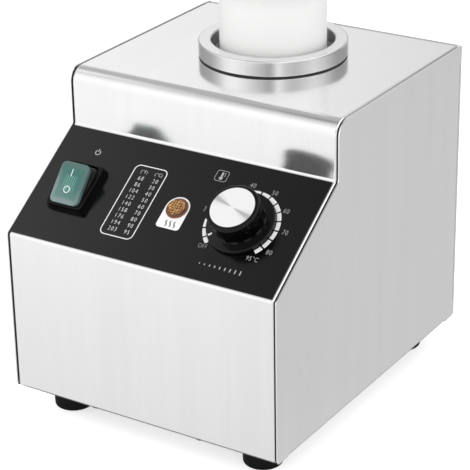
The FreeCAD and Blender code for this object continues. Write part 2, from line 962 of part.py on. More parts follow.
def switch_boot():
    high = rocker_rise + boot_wall
    low = high - boot_drop
    boot = leaning_block(boot_width, boot_stand_off, rocker_corner + boot_stand_off, low, high)
    boot = boot.makeFillet(boot_edge_round, edges_where(boot, lambda p: abs(p.z - high) < lap))
    inner = leaning_block(rocker_width + 2 * boot_fit, boot_fit, rocker_corner + boot_fit,
                          low - boot_wall, rocker_rise)
    return on_rocker(boot.cut(inner))


# Indicator lamp

def indicator_lens():
    high = face_out + lamp_rise
    corners = [(0, face_out), (0, high), (lamp_radius, high), (lamp_radius, face_out)]
    return on_slope(turned(corners, [0, 0, lamp_round, 0]), lamp_across, lamp_up)


def indicator_body():
    stem = rod(lamp_stem_radius, -lamp_depth, face_out)
    pins = [rod(lamp_pin_radius, -lamp_depth - lamp_pin_length, -lamp_depth, side * lamp_pin_spread)
            for side in (-1, 1)]
    return on_slope(stem.fuse(pins), lamp_across, lamp_up)


def indicator_nut():
    high = -sheet
    low = high - lamp_nut_height
    nut = hexagon(lamp_nut_flat, low, high).cut(hole(lamp_stem_radius + lap, low, high))
    return on_slope(nut, lamp_across, lamp_up)


# Thermostat, spindle, sensor

def thermostat_body():
    back = -sheet - thermostat_plate - thermostat_depth
    body = plate(thermostat_width, thermostat_height, thermostat_corner, back, -sheet - thermostat_plate)
    ears = plate(2 * (thermostat_screw_spread + screw_head_radius), thermostat_height / 2, thermostat_corner,
                 -sheet - thermostat_plate, -sheet)
    body = body.fuse([ears, rod(thermostat_neck_radius, -sheet - thermostat_plate, face_out + knob_lift)])
    bore = rod(spindle_radius + spindle_gap, -sheet - thermostat_plate - spindle_seat, face_out + overrun)
    holes = [rod(screw_radius + thread_gap, back + thermostat_depth / 2, overrun,
                 side * thermostat_screw_spread) for side in (-1, 1)]
    return on_slope(body.cut(holes + [bore]).removeSplitter(), knob_across, knob_up)


def thermostat_terminals():
    back = -sheet - thermostat_plate - thermostat_depth
    tabs = []
    for side in (-1, 1):
        x = side * tab_spread_across
        tabs.append(block(x - tab_width / 2, x + tab_width / 2, -tab_thickness / 2, tab_thickness / 2,
                          back - tab_length, back))
    return on_slope(Part.makeCompound(tabs), knob_across, knob_up - thermostat_height / 4)


def thermostat_screws():
    length = face_out + sheet + thermostat_plate + thermostat_screw_tail
    one = screw(screw_radius, length, screw_head_radius, screw_head_height / 2)
    screws = [moved(one, side * thermostat_screw_spread, 0, face_out) for side in (-1, 1)]
    return on_slope(Part.makeCompound(screws), knob_across, knob_up)


def boss_top():
    return face_out + knob_lift + knob_height - knob_web


def spindle_profile(radius, flat):
    # A round bar with one flat, as a face in the plane square to it
    bar = rod(radius, -2 * thermostat_depth, 2 * thermostat_depth)
    low, high = face_out + knob_lift, 2 * thermostat_depth + overrun
    return bar.cut(block(-2 * radius, 2 * radius, radius - flat, 2 * radius, low, high))


def thermostat_spindle():
    low = -sheet - thermostat_plate - spindle_seat + spindle_gap
    high = boss_top() - spindle_gap
    bar = spindle_profile(spindle_radius, spindle_flat)
    keep = block(-thermostat_width, thermostat_width, -thermostat_width, thermostat_width, low, high)
    return on_slope(bar.common(keep), knob_across, knob_up)


def knob_flutes(low, high):
    # Scallops around the grip, from the skirt's face up to a taper below the top edge
    across = knob_flute_floor + knob_flute_radius
    top = high - knob_flute_stop
    shoulder = top - knob_flute_taper
    scallop = rod(knob_flute_radius, low + knob_skirt + knob_skirt_drop, shoulder, across)
    taper = Part.makeCone(knob_flute_radius, knob_flute_tip, knob_flute_taper, point(across, 0, shoulder))
    scallop = scallop.fuse(taper)
    return [swung(scallop, i * 360 / knob_flute_count) for i in range(knob_flute_count)]


def control_knob():
    low = face_out + knob_lift
    high = low + knob_height
    cup = high - knob_cap_thickness
    recess = knob_cap_radius + knob_cap_gap
    skirt_in = knob_radius - knob_wall
    waist_in = knob_waist_radius - knob_wall
    inside = [(0, high - knob_web), (waist_in, high - knob_web), (waist_in, low + knob_skirt + knob_wall / 2),
              (skirt_in, low + knob_skirt / 2), (skirt_in, low)]
    outside = [(knob_radius, low), (knob_radius, low + knob_skirt),
               (knob_waist_radius, low + knob_skirt + knob_skirt_drop),
               (knob_waist_radius, low + knob_waist_height), (knob_rim_radius, low + knob_rim_height),
               (knob_rim_radius, high)]
    outside_rounds = [0, knob_foot_round, knob_skirt_round, knob_waist_round, knob_foot_round, knob_top_round]
    cup_face = [(recess, high), (recess, cup), (0, cup)]
    knob = turned(inside + outside + cup_face, [0] * len(inside) + outside_rounds + [0] * len(cup_face))
    boss = rod(knob_boss_radius, low + knob_boss_drop, low + knob_height - knob_web + knob_wall / 4)
    bore = spindle_profile(spindle_radius + spindle_gap, spindle_flat)
    keep = block(-knob_radius, knob_radius, -knob_radius, knob_radius, low - overrun, boss_top())
    knob = knob.cut(knob_flutes(low, high)).fuse(boss).cut(bore.common(keep)).removeSplitter()
    return on_slope(knob, knob_across, knob_up)


def knob_cap():
    low = face_out + knob_lift + knob_height - knob_cap_thickness
    high = low + knob_cap_thickness + knob_cap_stand
    corners = [(0, low), (0, high), (knob_cap_radius, high), (knob_cap_radius, low)]
    return on_slope(turned(corners, [0, 0, knob_cap_round, 0]), knob_across, knob_up)


def bulb_place():
    # The sensor stands against the pot in the heater's gap
    return well_y - well_radius - well_wall - band_gap - bulb_radius


def sensor_bulb():
    low, high = band_span()
    middle = (low + high) / 2
    corners = [(0, middle - bulb_length / 2), (0, middle + bulb_length / 2),
               (bulb_radius, middle + bulb_length / 2), (bulb_radius, middle - bulb_length / 2)]
    bulb = turned(corners, [0, 0, bulb_tip_round, bulb_tip_round])
    return moved(bulb, 0, bulb_place(), 0)


def tube_path(stops, radius):
    # Straight runs joined by tangent arcs of the given radius
    edges = []
    here = stops[0]
    for before, corner, after in zip(stops, stops[1:], stops[2:]):
        back = (before - corner).normalize()
        on = (after - corner).normalize()
        half = back.getAngle(on) / 2
        reach = radius / tan(half)
        start = corner + back * reach
        end = corner + on * reach
        top = corner + (back + on).normalize() * (radius / sin(half) - radius)
        edges.append(Part.LineSegment(here, start).toShape())
        edges.append(Part.Arc(start, top, end).toShape())
        here = end
    edges.append(Part.LineSegment(here, stops[-1]).toShape())
    return Part.Wire(edges)


def slope_point(across, up, out):
    y = front_y + up * cos(slope) - out * sin(slope)
    return point(across, y, slope_foot_z + up * sin(slope) + out * cos(slope))


def sensor_capillary():
    # From the thermostat's back, below the band heater, up into the foot of the bulb
    low, high = band_span()
    bulb_foot = (low + high) / 2 - bulb_length / 2
    back = -sheet - thermostat_plate - thermostat_depth
    start = slope_point(knob_across, knob_up, back)
    drop = slope_point(knob_across, knob_up, back - capillary_drop)
    turn = point(0, bulb_place(), bulb_foot - capillary_lead)
    end = point(0, bulb_place(), bulb_foot)
    path = tube_path([start, drop, turn, end], capillary_bend)
    mouth = Part.Wire(Part.makeCircle(capillary_radius, start, (drop - start).normalize()))
    tube = path.makePipeShell([mouth], True, False)
    return tube if tube.Volume > 0 else tube.reversed()


# Cable gland

def at_gland(shape):
    return moved(facing_rear(shape), gland_across, rear_y, cabinet_floor + gland_up)


def cable_gland_body():
    inner = gland_stem_radius - gland_wall
    body = hexagon(gland_hex_flat, 0, gland_hex_length)
    body = body.fuse(rod(gland_stem_radius, -gland_stem_length, 0))
    neck_high = gland_hex_length + gland_nut_length / 2
    body = body.fuse(rod(gland_nut_radius - gland_wall, gland_hex_length, neck_high))
    body = body.cut(rod(inner, -gland_stem_length - overrun, gland_hex_length))
    seal_seat = gland_seal_radius + gland_mouth_gap
    return at_gland(body.cut(hole(seal_seat, gland_hex_length, neck_high)).removeSplitter())


def cable_gland_nut():
    low = gland_hex_length + gland_mouth_gap
    high = gland_hex_length + gland_nut_length
    seat = gland_nut_radius - gland_wall + gland_mouth_gap
    shelf = gland_hex_length + gland_nut_length / 2 + gland_mouth_gap
    mouth = gland_bore + gland_mouth_gap
    roof = gland_hex_length + gland_mouth_gap + gland_seal_length
    corners = [
        (seat, low), (seat, shelf), (gland_seal_radius + gland_mouth_gap, shelf),
        (gland_seal_radius + gland_mouth_gap, roof), (mouth, roof), (mouth, high),
        (gland_nut_radius, high), (gland_nut_radius, low),
    ]
    return at_gland(turned(corners, [0, 0, 0, 0, 0, 0, gland_nut_round, 0]))


def cable_gland_seal():
    low = gland_hex_length - gland_mouth_gap
    high = gland_hex_length + gland_seal_length
    ring = rod(gland_seal_radius, low, high).cut(hole(gland_bore, low, high))
    return at_gland(ring)


def cable_gland_locknut():
    high = -sheet
    low = high - gland_locknut_height
    nut = hexagon(gland_locknut_flat, low, high).cut(hole(gland_stem_radius + lap, low, high))
    return at_gland(nut)


# Terminal block and earth stud on the base plate

def at_block(shape):
    return moved(shape, block_across, rear_y - block_from_rear, base_high_z)


def block_pole_places():
    return [(i - (block_poles - 1) / 2) * block_pitch for i in range(block_poles)]


def terminal_block():
    half = block_width / 2
    deep = block_depth / 2
    step = deep - block_step
    corners = [(-deep, 0), (-deep, block_height - block_shoulder), (-step, block_height - block_shoulder),
               (-step, block_height), (step, block_height), (step, block_height - block_shoulder),
               (deep, block_height - block_shoulder), (deep, 0)]
    body = along_x(corners, [0] * len(corners), -half, half)
    ways = [rod_y(block_wire_radius, -block_depth, block_depth, x, (block_height - block_shoulder) / 2)
            for x in block_pole_places()]
    pits = []
    for x in block_pole_places():
        for side in (-1, 1):
            y = side * (deep - block_step / 2)
            pits.append(rod(block_screw_radius + lap, (block_height - block_shoulder) / 2,
                            block_height, x, y))
    fixings = [hole(small_hole_radius, 0, block_height, x - block_across) for x, y in block_screw_places()]
    return at_block(body.cut(ways + pits + fixings))


def terminal_screws():
    top = block_height - block_shoulder
    low = (block_height - block_shoulder) / 2 + block_wire_radius / 2
    screws = []
    for x in block_pole_places():
        for side in (-1, 1):
            y = side * (block_depth / 2 - block_step / 2)
            screws.append(rod(block_screw_radius, low, top - block_screw_height / 2, x, y))
    return at_block(Part.makeCompound(screws))


def block_fixing_screws():
    length = block_height + sheet + small_nut_height
    one = screw(small_screw_radius, length, small_head_radius, small_head_height)
    return Part.makeCompound([moved(one, x, y, base_high_z + block_height) for x, y in block_screw_places()])


def earth_stud():
    x, y = earth_place()
    stud = rod(screw_radius, base_low_z - sheet / 2, base_high_z + earth_stud_height)
    head = rod(screw_head_radius, base_low_z - screw_head_height / 2, base_low_z)
    return moved(stud.fuse(head), x, y, 0)


def earth_nuts():
    x, y = earth_place()
    low = base_high_z
    washer = rod(earth_washer_radius, low, low + earth_washer_height)
    nut = hexagon(earth_nut_flat, low + earth_washer_height, low + earth_washer_height + earth_nut_height)
    bore = rod(screw_hole_radius, low - overrun, low + earth_stud_height)
    return moved(Part.makeCompound([washer.cut(bore), nut.cut(bore)]), x, y, 0)


# Squeeze bottle

bottle_foot_z = well_floor_z + bottle_seat_gap
shoulder_z = bottle_foot_z + bottle_straight
neck_foot_z = shoulder_z + shoulder_height
neck_top_z = neck_foot_z + neck_height
cap_deck_z = neck_top_z + cap_gap
cone_foot_z = cap_deck_z + cap_wall + cap_deck_rise
cone_tip_z = cone_foot_z + cone_height


def sauce_bottle():
    inner = bottle_radius - bottle_wall
    mouth = neck_radius - bottle_wall
    foot = bottle_radius - bottle_foot_width
    pushed_up = bottle_foot_z + bottle_push_up
    inner_floor = pushed_up + bottle_wall
    corners = [
        (0, pushed_up), (foot, pushed_up), (foot + bottle_push_up, bottle_foot_z),
        (bottle_radius, bottle_foot_z), (bottle_radius, shoulder_z), (neck_radius, neck_foot_z),
        (neck_radius, neck_top_z),
        (mouth, neck_top_z), (mouth, neck_foot_z - bottle_wall / 2), (inner, shoulder_z - bottle_wall / 2),
        (inner, inner_floor), (0, inner_floor),
    ]
    rounds = [0, 0, 0, bottle_base_round, shoulder_round, bottle_wall, 0, 0, bottle_wall * 2,
              shoulder_round - bottle_wall, bottle_base_round - bottle_wall, 0]
    return at_well(turned(corners, rounds))


def bottle_cap():
    skirt_low = neck_foot_z + cap_skirt_gap
    bore = neck_radius + cap_gap
    deck_high = cap_deck_z + cap_wall
    corners = [
        (bore, skirt_low), (bore, cap_deck_z), (cone_foot_radius - cone_wall, cap_deck_z),
        (cone_tip_radius - cone_wall, cone_tip_z), (cone_tip_radius, cone_tip_z),
        (cone_foot_radius, cone_foot_z), (cap_radius, deck_high), (cap_radius, skirt_low),
    ]
    rounds = [0, 0, 0, 0, cone_wall / 4, cap_wall * 2, cap_wall, 0]
    cap = turned(corners, rounds)
    rib_low = skirt_low + cap_rib_margin
    rib_high = deck_high - cap_rib_margin
    rib = block(cap_radius - cap_wall / 2, cap_radius + cap_rib_height, -cap_rib_width / 2, cap_rib_width / 2,
                rib_low, rib_high)
    ribs = [swung(rib, i * 360 / cap_rib_count) for i in range(cap_rib_count)]
    return at_well(cap.fuse(ribs))


def nozzle_tip_cap():
    slant = (cone_foot_radius - cone_tip_radius) / (cone_tip_z - cone_foot_z)
    low = cone_tip_z - tip_cap_cover
    mouth = cone_tip_radius + slant * tip_cap_cover + tip_cap_gap
    tip = cone_tip_radius + tip_cap_gap
    roof = cone_tip_z + tip_cap_gap
    high = roof + tip_cap_wall
    corners = [(mouth, low), (tip, roof), (0, roof), (0, high), (tip + tip_cap_wall, high),
               (mouth + tip_cap_wall, low)]
    return at_well(turned(corners, [0, 0, 0, 0, tip_cap_round, 0]))


# One STEP file for each piece

def pieces():
    made = {
        "front_top_cover": front_top_cover(),
        "left_side_panel": mirrored(side_panel()),
        "right_side_panel": side_panel(),
        "rear_cover": rear_cover(),
        "base_plate": base_plate(),
        "base_screws": base_screws(),
        "rear_cover_screws": rear_cover_screws(),
        "foot_screws": foot_screws(),
        "control_panel_label": control_panel_label(),
        "well_pot": well_pot(),
        "well_collar": well_collar(),
        "well_gasket": well_gasket(),
        "collar_studs": collar_studs(),
        "collar_nuts": collar_nuts(),
        "band_heater": band_heater(),
        "heater_clamp_screws": heater_clamp_screws(),
        "heater_terminals": heater_terminals(),
        "heater_beads": heater_beads(),
        "heater_lagging": heater_lagging(),
        "overheat_cutout": overheat_cutout(),
        "cutout_screws": cutout_screws(),
        "switch_body": switch_body(),
        "switch_bezel": switch_bezel(),
        "switch_terminals": switch_terminals(),
        "switch_rocker": switch_rocker(),
        "switch_boot": switch_boot(),
        "indicator_lens": indicator_lens(),
        "indicator_body": indicator_body(),
        "indicator_nut": indicator_nut(),
        "thermostat_body": thermostat_body(),
        "thermostat_terminals": thermostat_terminals(),
        "thermostat_screws": thermostat_screws(),
        "thermostat_spindle": thermostat_spindle(),
        "control_knob": control_knob(),
        "knob_cap": knob_cap(),
        "sensor_bulb": sensor_bulb(),
        "sensor_capillary": sensor_capillary(),
        "cable_gland_body": cable_gland_body(),
        "cable_gland_nut": cable_gland_nut(),
        "cable_gland_seal": cable_gland_seal(),
        "cable_gland_locknut": cable_gland_locknut(),
        "terminal_block": terminal_block(),
        "terminal_screws": terminal_screws(),
        "block_fixing_screws": block_fixing_screws(),
        "earth_stud": earth_stud(),
        "earth_nuts": earth_nuts(),
        "sauce_bottle": sauce_bottle(),
        "bottle_cap": bottle_cap(),
        "nozzle_tip_cap": nozzle_tip_cap(),
    }
    names = ("foot_front_left", "foot_front_right", "foot_rear_left", "foot_rear_right")
    for name, (x, y) in zip(names, foot_places()):
        made[name] = moved(foot(), x, y, 0)
    return made


os.makedirs("parts", exist_ok=True)
for name, shape in pieces().items():
    if not shape.isValid() or not shape.Solids:
        print("check", name, shape.isValid(), len(shape.Solids))
    shape.exportStep("parts/" + name + ".step")
print("pieces written", len(os.listdir("parts")))
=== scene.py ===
# Counter-top warmer for one squeeze bottle of sauce: finishes, print, light and camera around its CAD model

import json
import math

import bmesh
import bpy
from mathutils import Matrix, Vector
from mathutils.bvhtree import BVHTree


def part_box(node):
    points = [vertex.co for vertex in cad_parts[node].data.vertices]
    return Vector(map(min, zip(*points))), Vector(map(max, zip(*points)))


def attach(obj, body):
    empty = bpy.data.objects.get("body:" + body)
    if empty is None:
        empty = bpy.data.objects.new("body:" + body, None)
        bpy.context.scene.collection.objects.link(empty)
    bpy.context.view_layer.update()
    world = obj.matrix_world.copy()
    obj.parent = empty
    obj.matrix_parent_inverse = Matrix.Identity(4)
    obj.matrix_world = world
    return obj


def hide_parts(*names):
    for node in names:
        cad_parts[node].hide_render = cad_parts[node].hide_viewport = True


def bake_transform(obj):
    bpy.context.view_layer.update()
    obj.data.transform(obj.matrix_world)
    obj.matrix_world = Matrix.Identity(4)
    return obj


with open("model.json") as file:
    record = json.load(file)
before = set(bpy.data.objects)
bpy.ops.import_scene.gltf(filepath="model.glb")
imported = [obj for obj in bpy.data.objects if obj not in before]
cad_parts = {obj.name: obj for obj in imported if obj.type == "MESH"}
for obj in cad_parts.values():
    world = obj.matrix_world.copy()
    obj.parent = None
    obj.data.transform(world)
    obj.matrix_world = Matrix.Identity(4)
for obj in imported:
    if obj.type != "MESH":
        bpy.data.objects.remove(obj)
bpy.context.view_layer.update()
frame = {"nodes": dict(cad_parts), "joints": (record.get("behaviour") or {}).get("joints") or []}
nodes = frame["nodes"]
joints = {joint["name"]: joint for joint in frame["joints"]}
mm = 0.001


def metres(values):
    return [value * mm for value in values]


def polar(radius, degrees):
    return radius * math.cos(math.radians(degrees)), radius * math.sin(math.radians(degrees))


# the places that the CAD model gives: the sloped panel, the dial, the switch, the lamp and the well

def placed(origin, tilt=0.0):  # across, up and out of the panel, tipped back by the tilt
    up = panelUp * math.cos(tilt) + panelOut * math.sin(tilt)
    out = panelOut * math.cos(tilt) - panelUp * math.sin(tilt)
    return Matrix.Translation(origin) @ Matrix((panelAcross, up, out)).transposed().to_4x4()


def middle(node):
    low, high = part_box(node)
    return (low + high) / 2


panelOut = -Vector(joints["dial_turn"]["axis"]).normalized()
panelAcross = Vector((1, 0, 0))
panelUp = panelOut.cross(panelAcross)
dialCentre = Vector(joints["dial_turn"]["pos_m"])
labelMiddle = middle("control_panel_label")
labelFace = labelMiddle + panelOut * (dialCentre - labelMiddle).dot(panelOut)
restTilt = math.radians(joints["rocker_tip"]["range_deg"][1] / 2)
panelPlace = placed(labelFace)
dialPlace = placed(dialCentre)
switchPlace = placed(Vector(joints["rocker_tip"]["pos_m"]))
rockerPlace = placed(switchPlace.translation, restTilt)
lampPlace = placed(middle("indicator_lens"))
lampOnPanel = panelPlace.inverted() @ lampPlace.translation
wellPlace = Matrix.Translation(middle("well_collar"))
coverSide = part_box("front_top_cover")[1].x
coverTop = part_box("front_top_cover")[1].z


# shader nodes: a wire is a socket that can be reckoned with, a board is a tree that makes nodes

class Wire:
    def __init__(self, board, socket):
        self.board = board
        self.socket = socket

    def maths(self, operation, *others):
        return self.board.maths(operation, self, *others)

    def __add__(self, other):
        return self.maths("ADD", other)

    def __radd__(self, other):
        return self.board.maths("ADD", other, self)

    def __sub__(self, other):
        return self.maths("SUBTRACT", other)

    def __rsub__(self, other):
        return self.board.maths("SUBTRACT", other, self)

    def __mul__(self, other):
        return self.maths("MULTIPLY", other)

    def __rmul__(self, other):
        return self.board.maths("MULTIPLY", other, self)

    def __truediv__(self, other):
        return self.maths("DIVIDE", other)

    def __rtruediv__(self, other):
        return self.board.maths("DIVIDE", other, self)

    def __abs__(self):
        return self.maths("ABSOLUTE")


class Board:
    def __init__(self, tree):
        self.tree = tree

    def node(self, kind, sockets=(), out=0, **settings):
        made = self.tree.nodes.new(kind)
        for name, value in settings.items():
            if name == "stops":  # a ramp's places and shades, lowest first
                stops = made.color_ramp.elements
                stops.remove(stops[1])
                stops[0].position, stops[0].color = value[0]
                for place, shade in value[1:]:
                    stops.new(place).color = shade
            else:
                setattr(made, name, value)
        for name, value in sockets.items() if isinstance(sockets, dict) else enumerate(sockets):
            self.plug(made.inputs[name], value)
        return Wire(self, made.outputs[out])

    def plug(self, socket, value):
        if isinstance(value, Wire):
            self.tree.links.new(value.socket, socket)
        else:
            socket.default_value = value

    def maths(self, operation, *values):
        return self.node("ShaderNodeMath", values, operation=operation)

    def split(self, vector):
        first = self.node("ShaderNodeSeparateXYZ", [vector])
        return [Wire(self, socket) for socket in first.socket.node.outputs]

    def join(self, x, y, z):
        return self.node("ShaderNodeCombineXYZ", [x, y, z])

    def blendColour(self, share, under, over, how="MIX"):
        return self.node("ShaderNodeMix", {0: share, 6: under, 7: over}, 2, data_type="RGBA", blend_type=how)

    def ramp(self, value, stops):
        return self.node("ShaderNodeValToRGB", [value], stops=[(place, grey(shade)) for place, shade in stops])

    def smooth(self, value, low, high):  # 0 below low, 1 above high
        return self.node("ShaderNodeMapRange", {0: value, 1: low, 2: high}, interpolation_type="SMOOTHSTEP")

    def noise(self, vector, detail=2.0, rough=0.5):
        return self.node("ShaderNodeTexNoise", {
            "Vector": vector, "Scale": 1.0, "Detail": detail, "Roughness": rough})

    def rays(self):  # whether the camera sees this, and whether metal or glass does
        path = self.node("ShaderNodeLightPath").socket.node.outputs
        camera, glossy, through = (
            Wire(self, path[name]) for name in ("Is Camera Ray", "Is Glossy Ray", "Is Transmission Ray"))
        return camera, glossy.maths("MAXIMUM", through)


class Finish(Board):
    def __init__(self, name):
        self.material = bpy.data.materials.new(name)
        self.material.use_nodes = True
        super().__init__(self.material.node_tree)
        self.shader = self.tree.nodes["Principled BSDF"]
        self.place = self.node("ShaderNodeTexCoord", out="Object")

    def stretched(self, x, y, z):  # the object's own place, so many times a metre each way
        return self.node("ShaderNodeMapping", {"Vector": self.place, "Scale": (x, y, z)})

    def grain(self, size, detail=3.0, rough=0.6):
        return self.noise(self.stretched(size, size, size), detail, rough)

    def local(self, place):  # the object's own place, measured in another piece's frame
        back = place.inverted()
        return self.node("ShaderNodeMapping", {
            "Vector": self.place, "Location": back.translation, "Rotation": tuple(back.to_euler())})

    def rings(self, place, perMetre):  # lathe marks: fine along the radius and the axis, even around
        x, y, z = self.split(self.local(place))
        return self.noise(self.join(radiusOf(x, y) * perMetre, z * perMetre, 0.0), 2.0)

    def bump(self, height, distance, strength=1.0):
        return self.node("ShaderNodeBump", {"Strength": strength, "Distance": distance, "Height": height})

    def give(self, **sockets):
        for name, value in sockets.items():
            self.plug(self.shader.inputs[socketNames[name]], value)
        return self.material


socketNames = {
    "colour": "Base Color", "metal": "Metallic", "rough": "Roughness", "normal": "Normal",
    "specular": "Specular IOR Level", "coat": "Coat Weight", "coatRough": "Coat Roughness",
    "scatter": "Subsurface Weight", "scatterRadius": "Subsurface Radius", "scatterScale": "Subsurface Scale",
}


def radiusOf(x, y):
    return (x * x + y * y).maths("SQRT")


def tint(red, green, blue):  # a colour as a screen shows it, 0 to 255
    shares = [channel / 255 for channel in (red, green, blue)]
    linear = [share / 12.92 if share <= 0.04045 else ((share + 0.055) / 1.055) ** 2.4 for share in shares]
    return (*linear, 1.0)


def shaded(colour, share):
    return (*(channel * share for channel in colour[:3]), 1.0)


def grey(value):
    return (value, value, value, 1.0)


def wear(*names, finish):
    for name in names:
        for slot in nodes[name].material_slots:
            slot.material = finish


# brushed stainless sheet: hairlines that run one way, with slow drifts of shade between them
sheet = {"shade": (0.975, 0.975, 0.98, 1), "dark": 0.95, "rough": 0.11, "roughDrift": 0.05, "hairs": 4200.0,
         "along": 22.0, "drifts": 60.0, "driftsAlong": 3.0, "hairShare": 0.6, "spread": (0.3, 0.7),
         "depth": 0.000006, "metal": 1.0, "grime": 0.06}


def brushedSheet(name, node, grain, **changes):
    values = sheet | changes
    finish = Finish(name)
    fine, slow = ([values[short if axis in grain else long] for axis in "xyz"]
                  for short, long in (("hairs", "along"), ("drifts", "driftsAlong")))
    hairs = finish.noise(finish.stretched(*fine), 3.0, 0.6)
    drift = finish.noise(finish.stretched(*slow))
    rough = values["rough"] + (hairs - 0.5) * values["roughDrift"] + (drift - 0.5) * values["roughDrift"]
    mixed = hairs * values["hairShare"] + drift * (1 - values["hairShare"])
    light = finish.smooth(mixed, *values["spread"])
    colour = finish.blendColour(light, shaded(values["shade"], values["dark"]), values["shade"])
    if "seam" in values:  # painted shade: the seam between the cover and the right side sheet is painted dark where shade falls in the gap
        inSeam = finish.smooth(finish.split(finish.place)[0], *values["seam"])
        colour = finish.blendColour(inSeam, colour, shaded(values["shade"], values["grime"]))
    metal = values["metal"]
    if "haze" in values:  # the upright faces are hazier than the top, which is wiped more often
        metal = 1 - finish.smooth(finish.split(finish.place)[2], *values["haze"]) * (1 - values["metal"])
    wear(node, finish=finish.give(
        colour=colour, metal=metal, rough=rough, normal=finish.bump(hairs, values["depth"])))


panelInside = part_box("right_side_panel")[1].x - 1.0 * mm
brushedSheet("brushed_cover", "front_top_cover", "x", rough=0.13, depth=0.00001, metal=0.9,
             haze=(coverTop - 2 * mm, coverTop - 12 * mm), seam=(coverSide - 0.25 * mm, coverSide - 0.1 * mm))
brushedSheet("brushed_left", "left_side_panel", "y")
brushedSheet("brushed_right", "right_side_panel", "y", seam=(panelInside + 0.4 * mm, panelInside + 0.15 * mm))
brushedSheet("brushed_rear", "rear_cover", "x", rough=0.2)
brushedSheet("brushed_base", "base_plate", "x", shade=(0.72, 0.72, 0.73, 1), rough=0.34)
print("sheet metal finished")


# turned and drawn stainless: the collar, the pot and the knob's disc
turned = {"shade": (0.96, 0.96, 0.965, 1), "ringDark": 0.9, "metal": 1.0, "rough": 0.18, "roughDrift": 0.1,
          "rings": 3000.0, "depth": 0.000003}
# painted shade: the collar's side is darker than its top
collar = {"side": 0.9, "rim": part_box("well_collar")[1].z - wellPlace.translation.z, "fade": 0.0004}
pot = {"shade": (0.95, 0.95, 0.96, 1), "rough": 0.4, "rings": 900.0, "metal": 0.8}
disc = {"shade": (0.97, 0.97, 0.975, 1), "rough": 0.28, "roughDrift": 0.02, "rings": 5200.0, "ringDark": 0.97,
        "depth": 0.000002, "metal": 0.25, "streak": -17.0, "streakDark": 0.4, "core": (0.982, 1.0, 0.55),
        "flank": (0.9, 1.0, 0.25), "rays": 14.0, "raysOut": 60.0, "rayShare": 0.3, "edge": (14.15, 14.45),
        "edgeDark": 0.02}


def turnedMetal(name, node, place, changes):
    values = turned | changes
    finish = Finish(name)
    rings = finish.rings(place, values["rings"])
    x, y, z = finish.split(finish.local(place))
    colour = finish.blendColour(rings, shaded(values["shade"], values["ringDark"]), values["shade"])
    if "side" in values:  # painted shade: the face below the rim is painted darker than the top
        onTop = finish.smooth(z, values["rim"] - values["fade"], values["rim"])
        colour = finish.blendColour(onTop, shaded(values["shade"], values["side"]), colour)
    if "streak" in values:  # painted reflection: a darker bow-tie streak across the disc's middle, with faint rays beside it
        radius = radiusOf(x, y) + 0.01 * mm  # never zero
        across, up = polar(1, values["streak"])
        along = abs((x * across + y * up) / radius)
        turning = finish.join(x / radius * values["rays"], y / radius * values["rays"], radius * values["raysOut"])
        share = (finish.noise(turning, 3.0, 0.6) - 0.5) * values["rayShare"]
        for low, high, strength in (values["core"], values["flank"]):
            share = share + finish.smooth(along, low, high) * strength
        streak = shaded(values["shade"], values["streakDark"])
        colour = finish.blendColour(share.maths("MAXIMUM", 0.0), colour, streak)
        # painted shade: the disc's outer edge is painted near black
        atEdge = finish.smooth(radius, *metres(values["edge"]))
        colour = finish.blendColour(atEdge, colour, shaded(values["shade"], values["edgeDark"]))
    rough = values["rough"] + (rings - 0.5) * values["roughDrift"]
    wear(node, finish=finish.give(
        colour=colour, metal=values["metal"], rough=rough, normal=finish.bump(rings, values["depth"])))


turnedMetal("turned_collar", "well_collar", wellPlace, collar)
turnedMetal("drawn_pot", "well_pot", wellPlace, pot)
turnedMetal("turned_disc", "knob_cap", dialPlace, disc)


# small metal parts: plated, stainless, brass, copper and steel, each with its own tarnish
smallMetal = {"clouds": 900.0, "spread": (0.35, 0.75), "fine": 7000.0, "roughDrift": 0.12, "depth": 0.000004}
fittings = {
    "zinc_plate": {"shade": (0.72, 0.74, 0.77, 1), "tarnish": (0.66, 0.64, 0.56, 1), "rough": 0.26, "nodes": (
        "base_screws", "foot_screws", "collar_studs", "collar_nuts", "heater_clamp_screws", "cutout_screws",
        "thermostat_screws", "block_fixing_screws")},
    "stainless_screw": {"shade": (0.82, 0.82, 0.83, 1), "tarnish": (0.7, 0.7, 0.71, 1), "rough": 0.22,
                        "nodes": ("rear_cover_screws",)},
    "contact_brass": {"shade": (0.78, 0.57, 0.24, 1), "tarnish": (0.55, 0.38, 0.16, 1), "rough": 0.28, "nodes": (
        "switch_terminals", "thermostat_terminals", "terminal_screws", "earth_stud", "earth_nuts")},
    "copper_tube": {"shade": (0.8, 0.42, 0.27, 1), "tarnish": (0.5, 0.24, 0.15, 1), "rough": 0.3,
                    "nodes": ("sensor_bulb", "sensor_capillary")},
    "spindle_steel": {"shade": (0.62, 0.62, 0.63, 1), "tarnish": (0.5, 0.5, 0.5, 1), "rough": 0.3,
                      "nodes": ("heater_terminals", "thermostat_spindle")},
    "heater_sheath": {"shade": (0.5, 0.48, 0.45, 1), "tarnish": (0.32, 0.27, 0.24, 1), "rough": 0.38,
                      "nodes": ("band_heater",)},
}


def fittingMetal(name, shade, tarnish, rough):
    finish = Finish(name)
    clouds = finish.grain(smallMetal["clouds"], 3.0, 0.5)
    fine = finish.grain(smallMetal["fine"], 2.0, 0.5)
    colour = finish.blendColour(finish.smooth(clouds, *smallMetal["spread"]), shade, tarnish)
    return finish.give(colour=colour, metal=1.0, rough=rough + (fine - 0.5) * smallMetal["roughDrift"],
                       normal=finish.bump(fine, smallMetal["depth"]))


for name, fitting in fittings.items():
    wear(*fitting["nodes"], finish=fittingMetal(name, fitting["shade"], fitting["tarnish"], fitting["rough"]))
print("turned parts and fittings finished")


